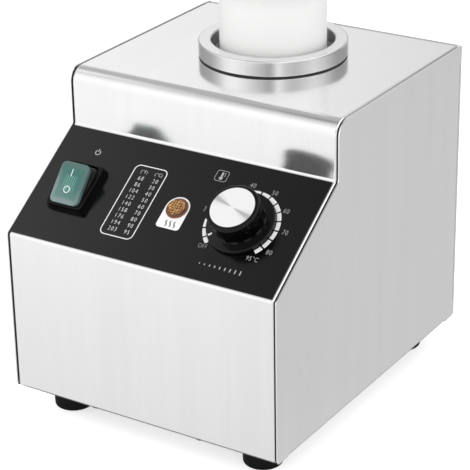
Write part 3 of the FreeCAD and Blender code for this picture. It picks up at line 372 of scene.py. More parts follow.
# moulded parts: a faint skin texture, and a slow change of shade
moulding = {"slow": 45.0, "roughDrift": 0.1}
mouldings = {
    "foot_rubber": {"colour": tint(14, 14, 15), "rough": 0.42, "grain": 1400.0, "depth": 0.00002, "nodes": (
        "foot_front_left", "foot_front_right", "foot_rear_left", "foot_rear_right")},
    # the gasket's dark grey is partly its own colour and partly painted shade of the gap under the collar
    "gasket_silicone_and_shade": {"colour": tint(30, 30, 31), "rough": 0.6, "grain": 1400.0, "depth": 0.00002,
                        "nodes": ("well_gasket",)},
    "switch_black": {"colour": tint(10, 10, 11), "rough": 0.34, "grain": 1800.0, "depth": 0.000006, "specular": 0.22,
                     "nodes": ("switch_bezel", "switch_body")},
    "rocker_green": {"colour": tint(40, 150, 70), "rough": 0.3, "grain": 1800.0, "depth": 0.000004,
                     "nodes": ("switch_rocker",)},
    "lamp_black": {"colour": tint(28, 26, 24), "rough": 0.34, "nodes": ("indicator_body", "indicator_nut")},
    "thermostat_resin": {"colour": tint(205, 200, 188), "rough": 0.5, "nodes": ("thermostat_body",)},
    "cutout_resin": {"colour": tint(52, 40, 34), "rough": 0.45, "nodes": ("overheat_cutout",)},
    "gland_nylon": {"colour": tint(28, 28, 30), "rough": 0.48, "grain": 1500.0, "depth": 0.00002, "nodes": (
        "cable_gland_body", "cable_gland_nut", "cable_gland_locknut")},
    "gland_rubber": {"colour": tint(20, 20, 20), "rough": 0.66, "nodes": ("cable_gland_seal",)},
    "block_nylon": {"colour": tint(226, 224, 214), "rough": 0.46, "nodes": ("terminal_block",)},
    "ceramic_bead": {"colour": tint(236, 230, 218), "rough": 0.24, "grain": 900.0, "change": 0.08, "coat": 0.5,
                     "coatRough": 0.1, "nodes": ("heater_beads",)},
    "lagging_wool": {"colour": tint(206, 200, 182), "rough": 0.95, "grain": 500.0, "depth": 0.0008, "change": 0.25,
                     "nodes": ("heater_lagging",)},
    "label_film": {"colour": tint(6, 6, 7), "rough": 0.17, "grain": 5200.0, "depth": 0.000004, "change": 0.1,
                   "nodes": ("control_panel_label",)},
}


def moulded(name, colour, rough, grain=1600.0, depth=0.00001, change=0.12, nodes=(), **more):
    finish = Finish(name)
    skin = finish.grain(grain)
    slow = finish.grain(moulding["slow"], 2.0, 0.5)
    shade = finish.blendColour(slow, shaded(colour, 1 - change), colour)
    made = finish.give(colour=shade, rough=rough + (skin - 0.5) * moulding["roughDrift"],
                       normal=finish.bump(skin, depth), **more)
    wear(*nodes, finish=made)
    return made


skins = {name: moulded(name, **values) for name, values in mouldings.items()}

# the knob's gloss black, painted greyer on the skirt as painted sheen, and near black on the grip as painted shade
knobSkin = {"grip": tint(2, 2, 3), "skirt": tint(19, 19, 20), "gripFrom": (3.5, 3.9), "rough": 0.16,
            "gripRough": 0.04, "roughDrift": 0.08, "grain": 1500.0, "depth": 0.000006, "specular": 0.28}


def knobBlack():
    finish = Finish("knob_black")
    height = finish.split(finish.local(dialPlace))[2]
    onGrip = finish.smooth(height, *metres(knobSkin["gripFrom"]))
    skin = finish.grain(knobSkin["grain"])
    colour = finish.blendColour(onGrip, knobSkin["skirt"], knobSkin["grip"])
    rough = knobSkin["rough"] + onGrip * knobSkin["gripRough"] + (skin - 0.5) * knobSkin["roughDrift"]
    return finish.give(colour=colour, rough=rough, normal=finish.bump(skin, knobSkin["depth"]),
                       specular=knobSkin["specular"])


wear("control_knob", finish=knobBlack())

# the squeeze bottle's three plastics: milky walls that thin out above the sauce, a duller cap and its tip
milky = {"scatter": 0.04, "scatterRadius": (1.0, 0.95, 0.9), "scatterScale": 0.004}
bottle = {"filled": tint(248, 248, 247), "empty": tint(236, 237, 236), "fillLevel": 0.252, "fade": 0.012,
          "ripple": 0.006, "clouds": (45.0, 45.0, 20.0), "dark": 0.985, "rough": 0.38, "roughDrift": 0.1,
          "grain": 300.0, "depth": 0.00004}
closures = {"cap_skin": {"colour": tint(230, 231, 230), "rough": 0.33, "nodes": ("bottle_cap",)},
            "tip_skin": {"colour": tint(222, 222, 220), "rough": 0.3, "nodes": ("nozzle_tip_cap",)}}


def bottleWall():
    finish = Finish("bottle_wall")
    height = finish.split(finish.place)[2]
    skin = finish.grain(bottle["grain"])
    slow = finish.noise(finish.stretched(*bottle["clouds"]))
    level = bottle["fillLevel"]
    empty = finish.smooth(height + (slow - 0.5) * bottle["ripple"], level, level + bottle["fade"])
    colour = finish.blendColour(slow, shaded(bottle["filled"], bottle["dark"]), bottle["filled"])
    colour = finish.blendColour(empty, colour, bottle["empty"])
    return finish.give(colour=colour, rough=bottle["rough"] + (skin - 0.5) * bottle["roughDrift"],
                       normal=finish.bump(skin, bottle["depth"]), **milky)


wear("sauce_bottle", finish=bottleWall())
for name, values in closures.items():
    moulded(name, grain=bottle["grain"], depth=0.00002, change=0.03, **values, **milky)
print("moulded parts finished")


# the switch's boot: frosted green-grey top with a paler rim, painted paler towards its lower end as painted sheen,
# black sides, and the lit ribs seen through the rubber
boot = {"high": tint(60, 113, 105), "low": tint(92, 130, 124), "rimHigh": tint(84, 112, 108),
        "rimLow": tint(128, 148, 146), "rib": tint(120, 190, 172), "side": tint(26, 26, 27), "top": (7.1, 7.8),
        "halfWidth": 9.6, "halfHeight": 12.4, "rim": (0.72, 0.98), "fade": (-6.0, 12.0), "lean": -0.7,
        "ribPitch": 1.7, "ribEdge": (0.55, 0.85), "ribAcross": (4.1, 4.4), "ribAlong": (4.8, 5.4), "ribShare": 0.8,
        "rough": 0.42, "roughDrift": 0.1, "grain": 2500.0, "depth": 0.000012}


def bootSilicone():
    finish = Finish("boot_silicone")
    x, y, z = finish.split(finish.local(rockerPlace))
    out = (abs(x) / (boot["halfWidth"] * mm)).maths("MAXIMUM", abs(y) / (boot["halfHeight"] * mm))
    # painted sheen: the top is paler and greyer towards the boot's lower end
    lowerSheen = finish.smooth(x * boot["lean"] - y, *metres(boot["fade"]))
    middleShade = finish.blendColour(lowerSheen, boot["high"], boot["low"])
    rimShade = finish.blendColour(lowerSheen, boot["rimHigh"], boot["rimLow"])
    top = finish.blendColour(finish.smooth(out, *boot["rim"]), middleShade, rimShade)
    wave = (x / (boot["ribPitch"] * mm)).maths("PINGPONG", 0.5) * 2
    beside = finish.smooth(abs(x), *metres(boot["ribAcross"]))
    beyond = finish.smooth(abs(y), *metres(boot["ribAlong"]))
    rib = finish.smooth(wave, *boot["ribEdge"]) * (1 - beside) * (1 - beyond) * boot["ribShare"]
    top = finish.blendColour(rib, top, boot["rib"])
    onTop = finish.smooth(z, *metres(boot["top"]))
    colour = finish.blendColour(onTop, boot["side"], top)
    skin = finish.grain(boot["grain"], 3.0, 0.5)
    return finish.give(colour=colour, rough=boot["rough"] + (skin - 0.5) * boot["roughDrift"],
                       normal=finish.bump(skin, boot["depth"]),
                       scatter=0.15, scatterRadius=(0.8, 1.0, 0.85), scatterScale=0.001)


wear("switch_boot", finish=bootSilicone())

# the lamp's amber lens: a grid of small pyramids pressed into it, with painted highlights as bright glints
lens = {"amber": tint(186, 126, 62), "glintHighlight": tint(244, 200, 118), "line": tint(70, 42, 22),
        "rim": tint(110, 62, 34), "pitch": 1.9, "depth": 0.0004, "edge": (5.2, 5.9), "glints": 420.0,
        "glintFrom": (0.48, 0.62), "lineFrom": (0.45, 0.9), "lineUnder": (0.8, 0.4), "rough": 0.16,
        "ridgeRough": 0.05}


def amberLens():
    finish = Finish("amber_lens")
    x, y, z = finish.split(finish.local(lampPlace))
    waves = [abs((value / (lens["pitch"] * mm) + 0.5).maths("FRACT") - 0.5) * 2 for value in (x, y)]
    ridge = waves[0].maths("MAXIMUM", waves[1])
    glints = finish.grain(lens["glints"], 3.0, 0.7)
    atRim = finish.smooth(radiusOf(x, y), *metres(lens["edge"]))
    # painted highlight: bright glints scattered over the amber
    face = finish.blendColour(finish.smooth(glints, *lens["glintFrom"]), lens["amber"], lens["glintHighlight"])
    face = finish.blendColour(atRim, face, lens["rim"])
    lines = finish.smooth(ridge, *lens["lineFrom"]) * finish.smooth(glints, *lens["lineUnder"])
    colour = finish.blendColour(lines, face, lens["line"])
    return finish.give(colour=colour, rough=lens["rough"] + ridge * lens["ridgeRough"],
                       normal=finish.bump(1 - ridge, lens["depth"], 0.5), coat=0.6, coatRough=0.05,
                       scatter=0.2, scatterRadius=(1.0, 0.5, 0.1), scatterScale=0.002)


wear("indicator_lens", finish=amberLens())
print("boot and lens finished")


# new pieces start as a bmesh in the frame of what carries them, and end with their place in the mesh

def newObject(name, shape, place=Matrix()):
    bmesh.ops.transform(shape, matrix=place, verts=shape.verts)
    mesh = bpy.data.meshes.new(name)
    shape.to_mesh(mesh)
    shape.free()
    made = bpy.data.objects.new(name, mesh)
    bpy.context.scene.collection.objects.link(made)
    return made


def finishPiece(name, shape, place, body, slot, finish, smoothBelow=None):
    piece = newObject(name, shape, place)
    piece.data.materials.append(finish)
    if smoothBelow is not None:
        piece.data.shade_smooth()
        piece.data.set_sharp_from_angle(angle=math.radians(smoothBelow))
    if body is not None:
        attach(piece, body)
    return piece


def pour(shape, patch):  # adds one drawing to another
    carrier = bpy.data.meshes.new("carrier")
    patch.to_mesh(carrier)
    patch.free()
    shape.from_mesh(carrier)
    bpy.data.meshes.remove(carrier)


def weld(shape, distance=0.001 * mm):
    bmesh.ops.remove_doubles(shape, verts=shape.verts, dist=distance)


def rounded(shape, geom, offset, segments, affect="VERTICES"):
    bmesh.ops.bevel(shape, geom=geom, offset=offset, segments=segments, profile=0.5, affect=affect, material=-1)


def turnPatch(patch, degrees, across=0.0, up=0.0):
    turn = Matrix.Rotation(math.radians(degrees), 3, "Z")
    bmesh.ops.rotate(patch, cent=(0, 0, 0), matrix=turn, verts=patch.verts)
    bmesh.ops.translate(patch, vec=(across, up, 0), verts=patch.verts)


def rectangle(width, height):
    patch = bmesh.new()
    bmesh.ops.create_grid(patch, x_segments=1, y_segments=1, size=0.5)
    bmesh.ops.scale(patch, vec=(width, height, 1), verts=patch.verts)
    return patch


def bar(shape, across, up, width, height, corner=0.0, line=0.0, turn=0.0, top=None):
    patch = rectangle(width, height)
    for side, offset in ((1, corner if top is None else top), (-1, corner)):
        ends = [vert for vert in patch.verts if abs(vert.co.y - side * height / 2) < 0.0001 * mm]
        if offset:
            rounded(patch, ends, offset, 8)
    if line:  # only the outline stays
        inner = patch.faces[:]
        bmesh.ops.inset_region(patch, faces=inner, thickness=line, use_boundary=True, use_even_offset=True)
        bmesh.ops.delete(patch, geom=inner, context="FACES")
    turnPatch(patch, turn, across, up)
    pour(shape, patch)


def arc(shape, across, up, inner, outer, fromAngle, toAngle):  # part of a flat ring, its angles from the right
    patch = bmesh.new()
    ends = [patch.verts.new((radius, 0, 0)) for radius in (inner, outer)]
    edge = patch.edges.new(ends)
    turnPatch(patch, fromAngle)
    sweep = toAngle - fromAngle
    bmesh.ops.spin(patch, geom=[*ends, edge], cent=(0, 0, 0), axis=(0, 0, 1), angle=math.radians(sweep),
                   steps=max(3, int(sweep / 5)), use_merge=sweep >= 360)
    weld(patch, 0.0001 * mm)
    turnPatch(patch, 0, across, up)
    pour(shape, patch)


def dot(shape, across, up, radius):
    patch = bmesh.new()
    bmesh.ops.create_circle(patch, cap_ends=True, segments=24, radius=radius)
    turnPatch(patch, 0, across, up)
    pour(shape, patch)


def write(shape, text, across, up, height, squeeze=0.8, gap=0.15, thin=-0.008):  # figures, centred on a place
    curve = bpy.data.curves.new("figures", "FONT")
    curve.body = text
    curve.resolution_u = 3
    curve.space_character = 1.0 + gap
    curve.offset = thin  # slimmer strokes
    writing = bpy.data.objects.new("figures", curve)
    bpy.context.scene.collection.objects.link(writing)
    bpy.context.view_layer.update()
    flat = bpy.data.meshes.new_from_object(writing.evaluated_get(bpy.context.evaluated_depsgraph_get()))
    bpy.data.objects.remove(writing)
    patch = bmesh.new()
    patch.from_mesh(flat)
    bpy.data.meshes.remove(flat)
    weld(patch, 0.0001)
    lows = [min(vert.co[axis] for vert in patch.verts) for axis in (0, 1)]
    highs = [max(vert.co[axis] for vert in patch.verts) for axis in (0, 1)]
    grow = height / (highs[1] - lows[1])
    bmesh.ops.translate(patch, vec=(-(lows[0] + highs[0]) / 2, -(lows[1] + highs[1]) / 2, 0), verts=patch.verts)
    bmesh.ops.scale(patch, vec=(grow * squeeze, grow, 1), verts=patch.verts)
    turnPatch(patch, 0, across, up)
    pour(shape, patch)


def extruded(shape):  # draws every face out, and gives the points to move
    made = bmesh.ops.extrude_face_region(shape, geom=shape.faces[:])["geom"]
    return [item for item in made if isinstance(item, bmesh.types.BMVert)]


def thicken(shape, low, high):  # a flat drawing gets a film's thickness
    bmesh.ops.translate(shape, vec=(0, 0, low), verts=shape.verts)
    bmesh.ops.translate(shape, vec=(0, 0, high - low), verts=extruded(shape))
    bmesh.ops.recalc_face_normals(shape, faces=shape.faces)


def lay(shape, place, node, lift):  # drops a flat drawing onto a CAD node's surface, with its back just inside
    surface = BVHTree.FromObject(nodes[node], bpy.context.evaluated_depsgraph_get())
    back = place.inverted()
    down = place.to_3x3() @ Vector((0, 0, -1))
    for vert in shape.verts:
        hit = surface.ray_cast(place @ Vector((vert.co.x, vert.co.y, 50 * mm)), down)[0]
        if hit is not None:
            vert.co.z = (back @ hit).z + lift
    bmesh.ops.translate(shape, vec=(0, 0, -lift * 2), verts=extruded(shape))
    bmesh.ops.recalc_face_normals(shape, faces=shape.faces)


def spunRing(profile, steps):  # a closed outline of radius and height, spun into a ring
    shape = bmesh.new()
    corners = [shape.verts.new((radius * mm, 0, out * mm)) for radius, out in profile]
    sides = [shape.edges.new(pair) for pair in zip(corners, corners[1:] + corners[:1])]
    bmesh.ops.spin(shape, geom=[*corners, *sides], cent=(0, 0, 0), axis=(0, 0, 1), angle=2 * math.pi,
                   steps=steps, use_merge=True)
    weld(shape)
    bmesh.ops.recalc_face_normals(shape, faces=shape.faces)
    return shape


inkFilm = {"sink": -0.02 * mm, "rise": 0.03 * mm, "plateRise": 0.021 * mm}
inkSkin = {"rough": 0.45, "grain": 3000.0, "depth": 0.000003}
whiteInk = moulded("white_ink", tint(250, 250, 249), change=0.02, **inkSkin)
greyInk = moulded("grey_ink", tint(186, 186, 187), change=0.02, **inkSkin)
markInk = moulded("mark_ink", tint(226, 234, 233), change=0.02, **inkSkin)
blackInk = moulded("black_ink", tint(34, 34, 35), change=0.05, **inkSkin)


def printed(name, shape, place, finish, rise=inkFilm["rise"]):
    thicken(shape, inkFilm["sink"], rise)
    finishPiece(name, shape, place, "cabinet", "label_film", finish)


# the film's left margin, which runs on to the cover's edge
margin = {"fromEdge": 0.2, "over": 1.2, "corner": 0.5, "thickness": 0.4, "rise": 0.01}


def labelMargin():
    shape = bmesh.new()
    low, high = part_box("control_panel_label")
    left = -coverSide + margin["fromEdge"] * mm
    right = low.x + margin["over"] * mm
    length = (high.z - low.z - margin["thickness"] * mm * panelOut.z) / panelUp.z
    bar(shape, (left + right) / 2, 0, right - left, length, margin["corner"] * mm)
    thicken(shape, -margin["thickness"] * mm, margin["rise"] * mm)
    finishPiece("label_margin", shape, panelPlace, "cabinet", "label_film", skins["label_film"])


labelMargin()

# the dial's printed scale: sixteen gaps in a band around the knob, and plain figures outside it
scale = {"inner": 22.4 * mm, "outer": 25.2 * mm, "start": -43.0, "end": 225.0, "firstGap": -30.0, "gapStep": 16.4,
         "gaps": 16, "gapWidth": 2.5, "height": 3.3 * mm, "thin": -0.014, "highest": (18.0, -20.9),
         "off": (-17.5, -20.6), "offHeight": 3.135 * mm, "offSqueeze": 0.7, "offThin": -0.02,
         "figures": [("30", 28.2, 170.5), ("40", 28.8, 102), ("50", 28.4, 68), ("60", 28.6, 34), ("70", 29.9, 3),
                     ("80", 30.0, -28)]}


def dialScale():
    shape = bmesh.new()
    gaps = [scale["firstGap"] + number * scale["gapStep"] for number in range(scale["gaps"])]
    sides = [gap + side * scale["gapWidth"] / 2 for gap in gaps for side in (-1, 1)]
    edges = [scale["start"], *sides, scale["end"]]
    for first, last in zip(edges[0::2], edges[1::2]):
        arc(shape, 0, 0, scale["inner"], scale["outer"], first, last)
    tip = polar((scale["inner"] + scale["outer"]) / 2, scale["end"])
    arc(shape, *tip, 0, (scale["outer"] - scale["inner"]) / 2, scale["end"], scale["end"] + 180)
    printed("dial_scale", shape, dialPlace, whiteInk)
    shape = bmesh.new()
    for text, radius, angle in scale["figures"]:
        write(shape, text, *polar(radius * mm, angle), scale["height"], thin=scale["thin"])
    write(shape, "95°C", *metres(scale["highest"]), scale["height"])
    write(shape, "OFF", *metres(scale["off"]), scale["offHeight"], scale["offSqueeze"], thin=scale["offThin"])
    printed("dial_figures", shape, dialPlace, greyInk)


dialScale()

# the table of both scales of temperature; its outline: across, up, width, height, corner and line
table = {"outline": (-24.95, -1.6, 24.7, 54.0, 4.0, 0.62), "columns": (-29.2, -18.3), "heading": 20.6,
         "headingGrow": 1.1, "headingGap": 0.2, "firstRow": 15.75, "pitch": 4.9, "height": 3.0, "gap": 0.35,
         "thin": -0.014, "celsius": (20, 30, 40, 50, 60, 70, 80, 90, 95)}


def temperatureTable():
    shape = bmesh.new()
    bar(shape, *metres(table["outline"]))
    height = table["height"] * mm
    for column, heading in zip(table["columns"], ("(°F)", "(°C)")):
        write(shape, heading, column * mm, table["heading"] * mm, height * table["headingGrow"],
              gap=table["headingGap"], thin=table["thin"])
    for row, celsius in enumerate(table["celsius"]):
        up = (table["firstRow"] - row * table["pitch"]) * mm
        for column, degrees in zip(table["columns"], (celsius * 9 // 5 + 32, celsius)):
            write(shape, str(degrees), column * mm, up, height, gap=table["gap"], thin=table["thin"])
    printed("temperature_table", shape, panelPlace, whiteInk)


temperatureTable()

# plain signs where the panel needs them: power, temperature and a rising row of strokes under the dial
signs = {"power": (-68.8, 27.0), "powerRadius": 2.1, "stroke": 0.6, "strokeUp": 0.75, "strokeLength": 1.1,
         "thermometer": (23.7, 30.4), "frame": (8.7, 8.0, 1.6, 0.3), "tube": (1.3, 3.9, 0.6), "tubeUp": 0.8,
         "bulb": 1.25, "bulbUp": -1.6, "tick": (1.0, 0.35), "tickFrom": (1.9, 0.2), "tickStep": 1.0, "ticks": 3,
         "row": (54.3, -31.7), "rowLength": 29.0, "rowStrokes": 9, "rowWidth": 0.7, "rowHeights": (0.8, 3.0)}


def panelSigns():
    shape = bmesh.new()
    across, up = metres(signs["power"])
    radius, stroke = signs["powerRadius"] * mm, signs["stroke"] * mm
    arc(shape, across, up, radius - stroke, radius, 125, 415)
    bar(shape, across, up + radius * signs["strokeUp"], stroke, radius * signs["strokeLength"])
    across, up = metres(signs["thermometer"])
    bar(shape, across, up, *metres(signs["frame"]))
    bar(shape, across, up + signs["tubeUp"] * mm, *metres(signs["tube"]))
    dot(shape, across, up + signs["bulbUp"] * mm, signs["bulb"] * mm)
    right, first = metres(signs["tickFrom"])
    for step in range(signs["ticks"]):
        bar(shape, across + right, up + first + step * signs["tickStep"] * mm, *metres(signs["tick"]))
    across, up = metres(signs["row"])
    low, high = signs["rowHeights"]
    for step in range(signs["rowStrokes"]):
        share = step / (signs["rowStrokes"] - 1)
        bar(shape, across + (share - 0.5) * signs["rowLength"] * mm, up, signs["rowWidth"] * mm,
            (low + (high - low) * share) * mm)
    printed("panel_signs", shape, panelPlace, greyInk)


panelSigns()

# the white plate printed behind the lamp, with three rising waves for heat
plate = {"halfWidth": 8.5, "foot": 15.3, "corner": 2.2, "roundShare": 0.998, "waves": (0.9, -11.6), "waveStep": 3.0,
         "stroke": 0.75, "bend": 1.35, "sweep": 50}


def lampPlate():
    across, up = lampOnPanel.xy
    half = plate["halfWidth"] * mm
    height = half + plate["foot"] * mm
    shape = bmesh.new()
    bar(shape, across, up + half - height / 2, half * 2, height, plate["corner"] * mm,
        top=half * plate["roundShare"])
    printed("lamp_plate", shape, panelPlace, whiteInk, inkFilm["plateRise"])
    shape = bmesh.new()
    inner, outer = ((plate["bend"] + side * plate["stroke"] / 2) * mm for side in (-1, 1))
    reach, rise = polar(plate["bend"] * mm, plate["sweep"])
    foot = up + plate["waves"][1] * mm
    for step in (-1, 0, 1):
        centre = across + (plate["waves"][0] + step * plate["waveStep"]) * mm
        arc(shape, centre - reach, foot - rise, inner, outer, -plate["sweep"], plate["sweep"])
        arc(shape, centre + reach, foot + rise, inner, outer, 180 - plate["sweep"], 180 + plate["sweep"])
    printed("heat_waves", shape, panelPlace, blackInk)


lampPlate()

# the lens's thin flange, pressed onto the plate
flange = {"profile": [(6.35, 0.0), (7.5, 0.0), (7.45, 0.3), (6.95, 0.6), (6.35, 0.75)], "steps": 64}
flangeAmber = moulded("flange_amber", tint(140, 84, 52), 0.2, 1500.0, 0.00001, 0.3)
flangePlace = panelPlace @ Matrix.Translation((*lampOnPanel.xy, 0))
finishPiece("lens_flange", spunRing(flange["profile"], flange["steps"]), flangePlace, "cabinet", "amber_lens",
            flangeAmber, 40)

# the rubber feet, tapered and a little fuller than their solids
feet = {"top": 13.6, "tip": 12.8, "round": 1.8, "well": 5.2, "web": 5.0, "hole": 2.15, "steps": 64}


def rubberFoot(node):
    low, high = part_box(node)
    seat = high.z / mm
    shape = spunRing([(feet["hole"], feet["web"]), (feet["well"], feet["web"]), (feet["well"], 0.0),
                      (feet["tip"], 0.0), (feet["top"], seat), (feet["hole"], seat)], feet["steps"])
    tread = [edge for edge in shape.edges if all(
        vert.co.z < 0.01 * mm and vert.co.xy.length > (feet["tip"] - 0.1) * mm for vert in edge.verts)]
    rounded(shape, tread, feet["round"] * mm, 5, "EDGES")
    place = Matrix.Translation(((low.x + high.x) / 2, (low.y + high.y) / 2, low.z))
    piece = finishPiece(node + "_rubber", shape, place, "cabinet", "foot_rubber", skins["foot_rubber"], 30)
    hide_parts(node)


for foot in mouldings["foot_rubber"]["nodes"]:
    rubberFoot(foot)

# cross recesses in the heads of the screws that show, drawn as flat marks in painted shade, each dropped onto its
# own head
recess = {"share": 0.6, "wide": 0.14, "lift": 0.02, "turn": 45,
          "rear_cover_screws": ("stainless_fastener", (0, 1, 0)), "base_screws": ("plated_fastener", (0, 0, -1))}
recessShade = moulded("recess_painted_shade", tint(38, 38, 40), 0.5, 1500.0, 0.000004)


def headCentres(node):  # the middle and width of each screw's head, from the node's separate shells
    shell = bmesh.new()
    shell.from_mesh(nodes[node].data)
    weld(shell)
    left = set(shell.verts)
    while left:
        reached = [left.pop()]
        for vert in reached:
            fresh = {edge.other_vert(vert) for edge in vert.link_edges} & left
            left -= fresh
            reached.extend(fresh)
        lows = Vector([min(vert.co[axis] for vert in reached) for axis in range(3)])
        highs = Vector([max(vert.co[axis] for vert in reached) for axis in range(3)])
        yield (lows + highs) / 2, highs.x - lows.x
    shell.free()


def cross(length, width):  # nine cells without the four at the corners
    patch = bmesh.new()
    bmesh.ops.create_grid(patch, x_segments=3, y_segments=3, size=0.5)
    for vert in patch.verts:
        for axis in (0, 1):
            reach = length if abs(vert.co[axis]) > 0.3 else width
            vert.co[axis] = math.copysign(reach / 2, vert.co[axis])
    corners = [face for face in patch.faces
               if min(abs(value) for value in face.calc_center_median()[:2]) > width / 2]
    bmesh.ops.delete(patch, geom=corners, context="FACES")
    turnPatch(patch, recess["turn"])
    bmesh.ops.subdivide_edges(patch, edges=patch.edges[:], cuts=1, use_grid_fill=True)
    return patch


def screwRecesses(node):
    slot, outward = recess[node]
    facing = Vector(outward).to_track_quat("Z", "Y").to_matrix().to_4x4()
    shape = bmesh.new()
    for centre, width in headCentres(node):
        place = Matrix.Translation(centre) @ facing
        patch = cross(width * recess["share"], width * recess["wide"])
        lay(patch, place, node, recess["lift"] * mm)
        bmesh.ops.transform(patch, matrix=place, verts=patch.verts)
        pour(shape, patch)
    finishPiece(node + "_recess", shape, Matrix(), "cabinet", slot, recessShade)


screwRecesses("rear_cover_screws")
screwRecesses("base_screws")

# the pointer on the knob's skirt, at OFF
pointer = {"angle": -138.0, "radius": 19.85, "size": (2.7, 1.3, 0.3), "lift": 0.02}


def knobPointer():
    shape = bmesh.new()
    centre = polar(pointer["radius"] * mm, pointer["angle"])
    bar(shape, *centre, *metres(pointer["size"]), turn=pointer["angle"])
    bmesh.ops.subdivide_edges(shape, edges=shape.edges[:], cuts=2, use_grid_fill=True)
    lay(shape, dialPlace, "control_knob", pointer["lift"] * mm)
    finishPiece("knob_pointer", shape, dialPlace, "knob", "knob_black", whiteInk)


knobPointer()

# the rocker's two marks, moulded on the boot
marks = {"on": (-0.8, 6.9, 0.7, 5.0), "off": (-0.3, -4.4, 1.8, 2.42), "lift": 0.03}


def rockerMarks():
    shape = bmesh.new()
    bar(shape, *metres(marks["on"]))
    arc(shape, *metres(marks["off"]), 0, 360)
    bmesh.ops.subdivide_edges(shape, edges=shape.edges[:], cuts=1, use_grid_fill=True)
    lay(shape, rockerPlace, "switch_boot", marks["lift"] * mm)
    finishPiece("rocker_marks", shape, rockerPlace, "rocker", "boot_silicone", markInk)


rockerMarks()

# the black bellows that join the bezel to the boot, in two halves, because one end folds in as the other stands out
bellows = {"foot": (21.7, 31.4, 2.8), "footOut": 1.4, "head": (21.0, 26.5, 3.2), "headOut": 5.8, "rings": 9,
           "step": 0.5, "wall": 0.25, "blendShare": 0.9}
bellowsRubber = moulded("bellows_rubber", tint(8, 8, 9), 0.35, 2200.0, 0.00001, specular=0.3)


def outlineRing(shape, width, height, corner, place):
    patch = rectangle(width * mm, height * mm)
    rounded(patch, patch.verts[:], corner * mm, 5)
    bmesh.ops.delete(patch, geom=patch.faces[:], context="FACES_ONLY")
    bmesh.ops.transform(patch, matrix=place, verts=patch.verts)
    count = len(patch.edges)
    pour(shape, patch)
    return count


def bellowsHalf(name, side):
    shape = bmesh.new()
    for level in range(bellows["rings"]):
        share = level / (bellows["rings"] - 1)
        width, height, corner = (
            foot + (head - foot) * share for foot, head in zip(bellows["foot"], bellows["head"]))
        inward = bellows["step"] * (level % 2)
        out = bellows["footOut"] + (bellows["headOut"] - bellows["footOut"]) * share
        lean = Matrix.Rotation(restTilt * share, 4, "X") @ Matrix.Translation((0, 0, out * mm))
        count = outlineRing(shape, width - inward * 2, height - inward * 2, corner - inward, switchPlace @ lean)
    edges = shape.edges[:]
    for level in range(bellows["rings"] - 1):
        bmesh.ops.bridge_loops(shape, edges=edges[level * count:(level + 2) * count])
    along, out = (switchPlace.to_3x3().col[axis].copy() for axis in (1, 2))
    bmesh.ops.bisect_plane(shape, geom=shape.verts[:] + shape.edges[:] + shape.faces[:],
                           plane_co=switchPlace.translation, plane_no=along * -side, clear_outer=True)
    weld(shape)
    within = extruded(shape)
    thinner = [1 - bellows["wall"] / size * 2 for size in bellows["foot"][:2]]
    bmesh.ops.transform(shape, matrix=switchPlace.inverted(), verts=within)
    bmesh.ops.scale(shape, vec=(*thinner, 1), verts=within)
    bmesh.ops.translate(shape, vec=(0, 0, bellows["wall"] * -0.5 * mm), verts=within)
    bmesh.ops.transform(shape, matrix=switchPlace, verts=within)
    bmesh.ops.recalc_face_normals(shape, faces=shape.faces)
    piece = finishPiece(name, shape, Matrix(), None, "boot_silicone", bellowsRubber)
    start = switchPlace.translation + out * bellows["footOut"] * mm
    half = side * bellows["head"][1] / 2
    rise = bellows["headOut"] * math.cos(restTilt) + half * math.sin(restTilt) - bellows["footOut"]
    start + out * rise * bellows["blendShare"] * mm
    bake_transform(piece)


bellowsHalf("boot_bellows_upper", 1)
bellowsHalf("boot_bellows_lower", -1)
print("print, marks, feet and bellows made")


# the studio: a pale floor and a plain world, each shown to metal as the backdrop that it mirrors
studio = {
    "plain": 1.0, "leftRear": 0.45, "farRight": 0.2,
    # the shade of the belt above the horizon, at each bearing from straight ahead
    "belt": [(-180, 0.35), (-168, 0.5), (-158, 0.66), (-153, 0.78), (-148, 0.88), (-142, 0.95), (-134, 0.7),
             (-126, 0.42), (-111, 0.34), (-95, 0.40), (-79, 0.42), (-63, 0.64), (-47, 1.0), (-31, 1.08), (-15, 0.92),
             (1, 0.7), (16, 0.5), (25, 0.34), (31, 0.5), (38, 1.0), (44, 0.8), (52, 0.6), (66, 0.53), (82, 0.7),
             (97, 0.82), (113, 0.72), (129, 0.5), (145, 0.35), (165, 0.32), (180, 0.35)],
    "beltFrom": (0.12, 0.22), "beltTo": (0.5, 0.62),
    # the panel overhead, which falls off to the right, and where it lies
    "panel": [(-0.6, 1.9), (-0.57, 1.6), (-0.53, 1.1), (-0.49, 0.75), (-0.46, 0.6)],
    "panelFront": (-0.3, -0.2), "panelBack": (0.0, 0.1), "panelAbove": (0.7, 0.78),
    "over": 1.35, "overRight": (0.05, 0.2), "overAbove": (0.45, 0.6),
    "skyMirror": [(0.2, 1.02), (0.5, 0.90), (0.7, 0.66), (0.85, 0.46)], "skyLean": 0.28,
    "lowUnder": (0.15, 0.3), "skyRight": (0.4, 0.55), "skyBehind": (0.1, 0.3),
    "left": (0.1, 0.2), "rear": (-0.1, 0.05)}
paper = {"radius": 3.0, "colour": 0.86, "glow": 0.62, "across": 0.6, "along": 0.8, "farRight": (0.75, 0.9),
         # mirror: the floor as the metal sees it, painted darker towards the right rear as the cabinet's shadow
         "mirror": [(-0.6, 0.98), (-0.445, 0.91), (-0.325, 0.84), (-0.206, 0.795), (-0.086, 0.74), (0.0, 0.62),
                    (0.1, 0.6)],
         "under": 0.12, "shadowUnderEdge": (0.004, 0.014)}


def leftRear(board, x, y):  # what lies to the left and behind is as dim in the metal as what lies to the right
    return board.smooth(x * -1.0, *studio["left"]) * board.smooth(y, *studio["rear"])


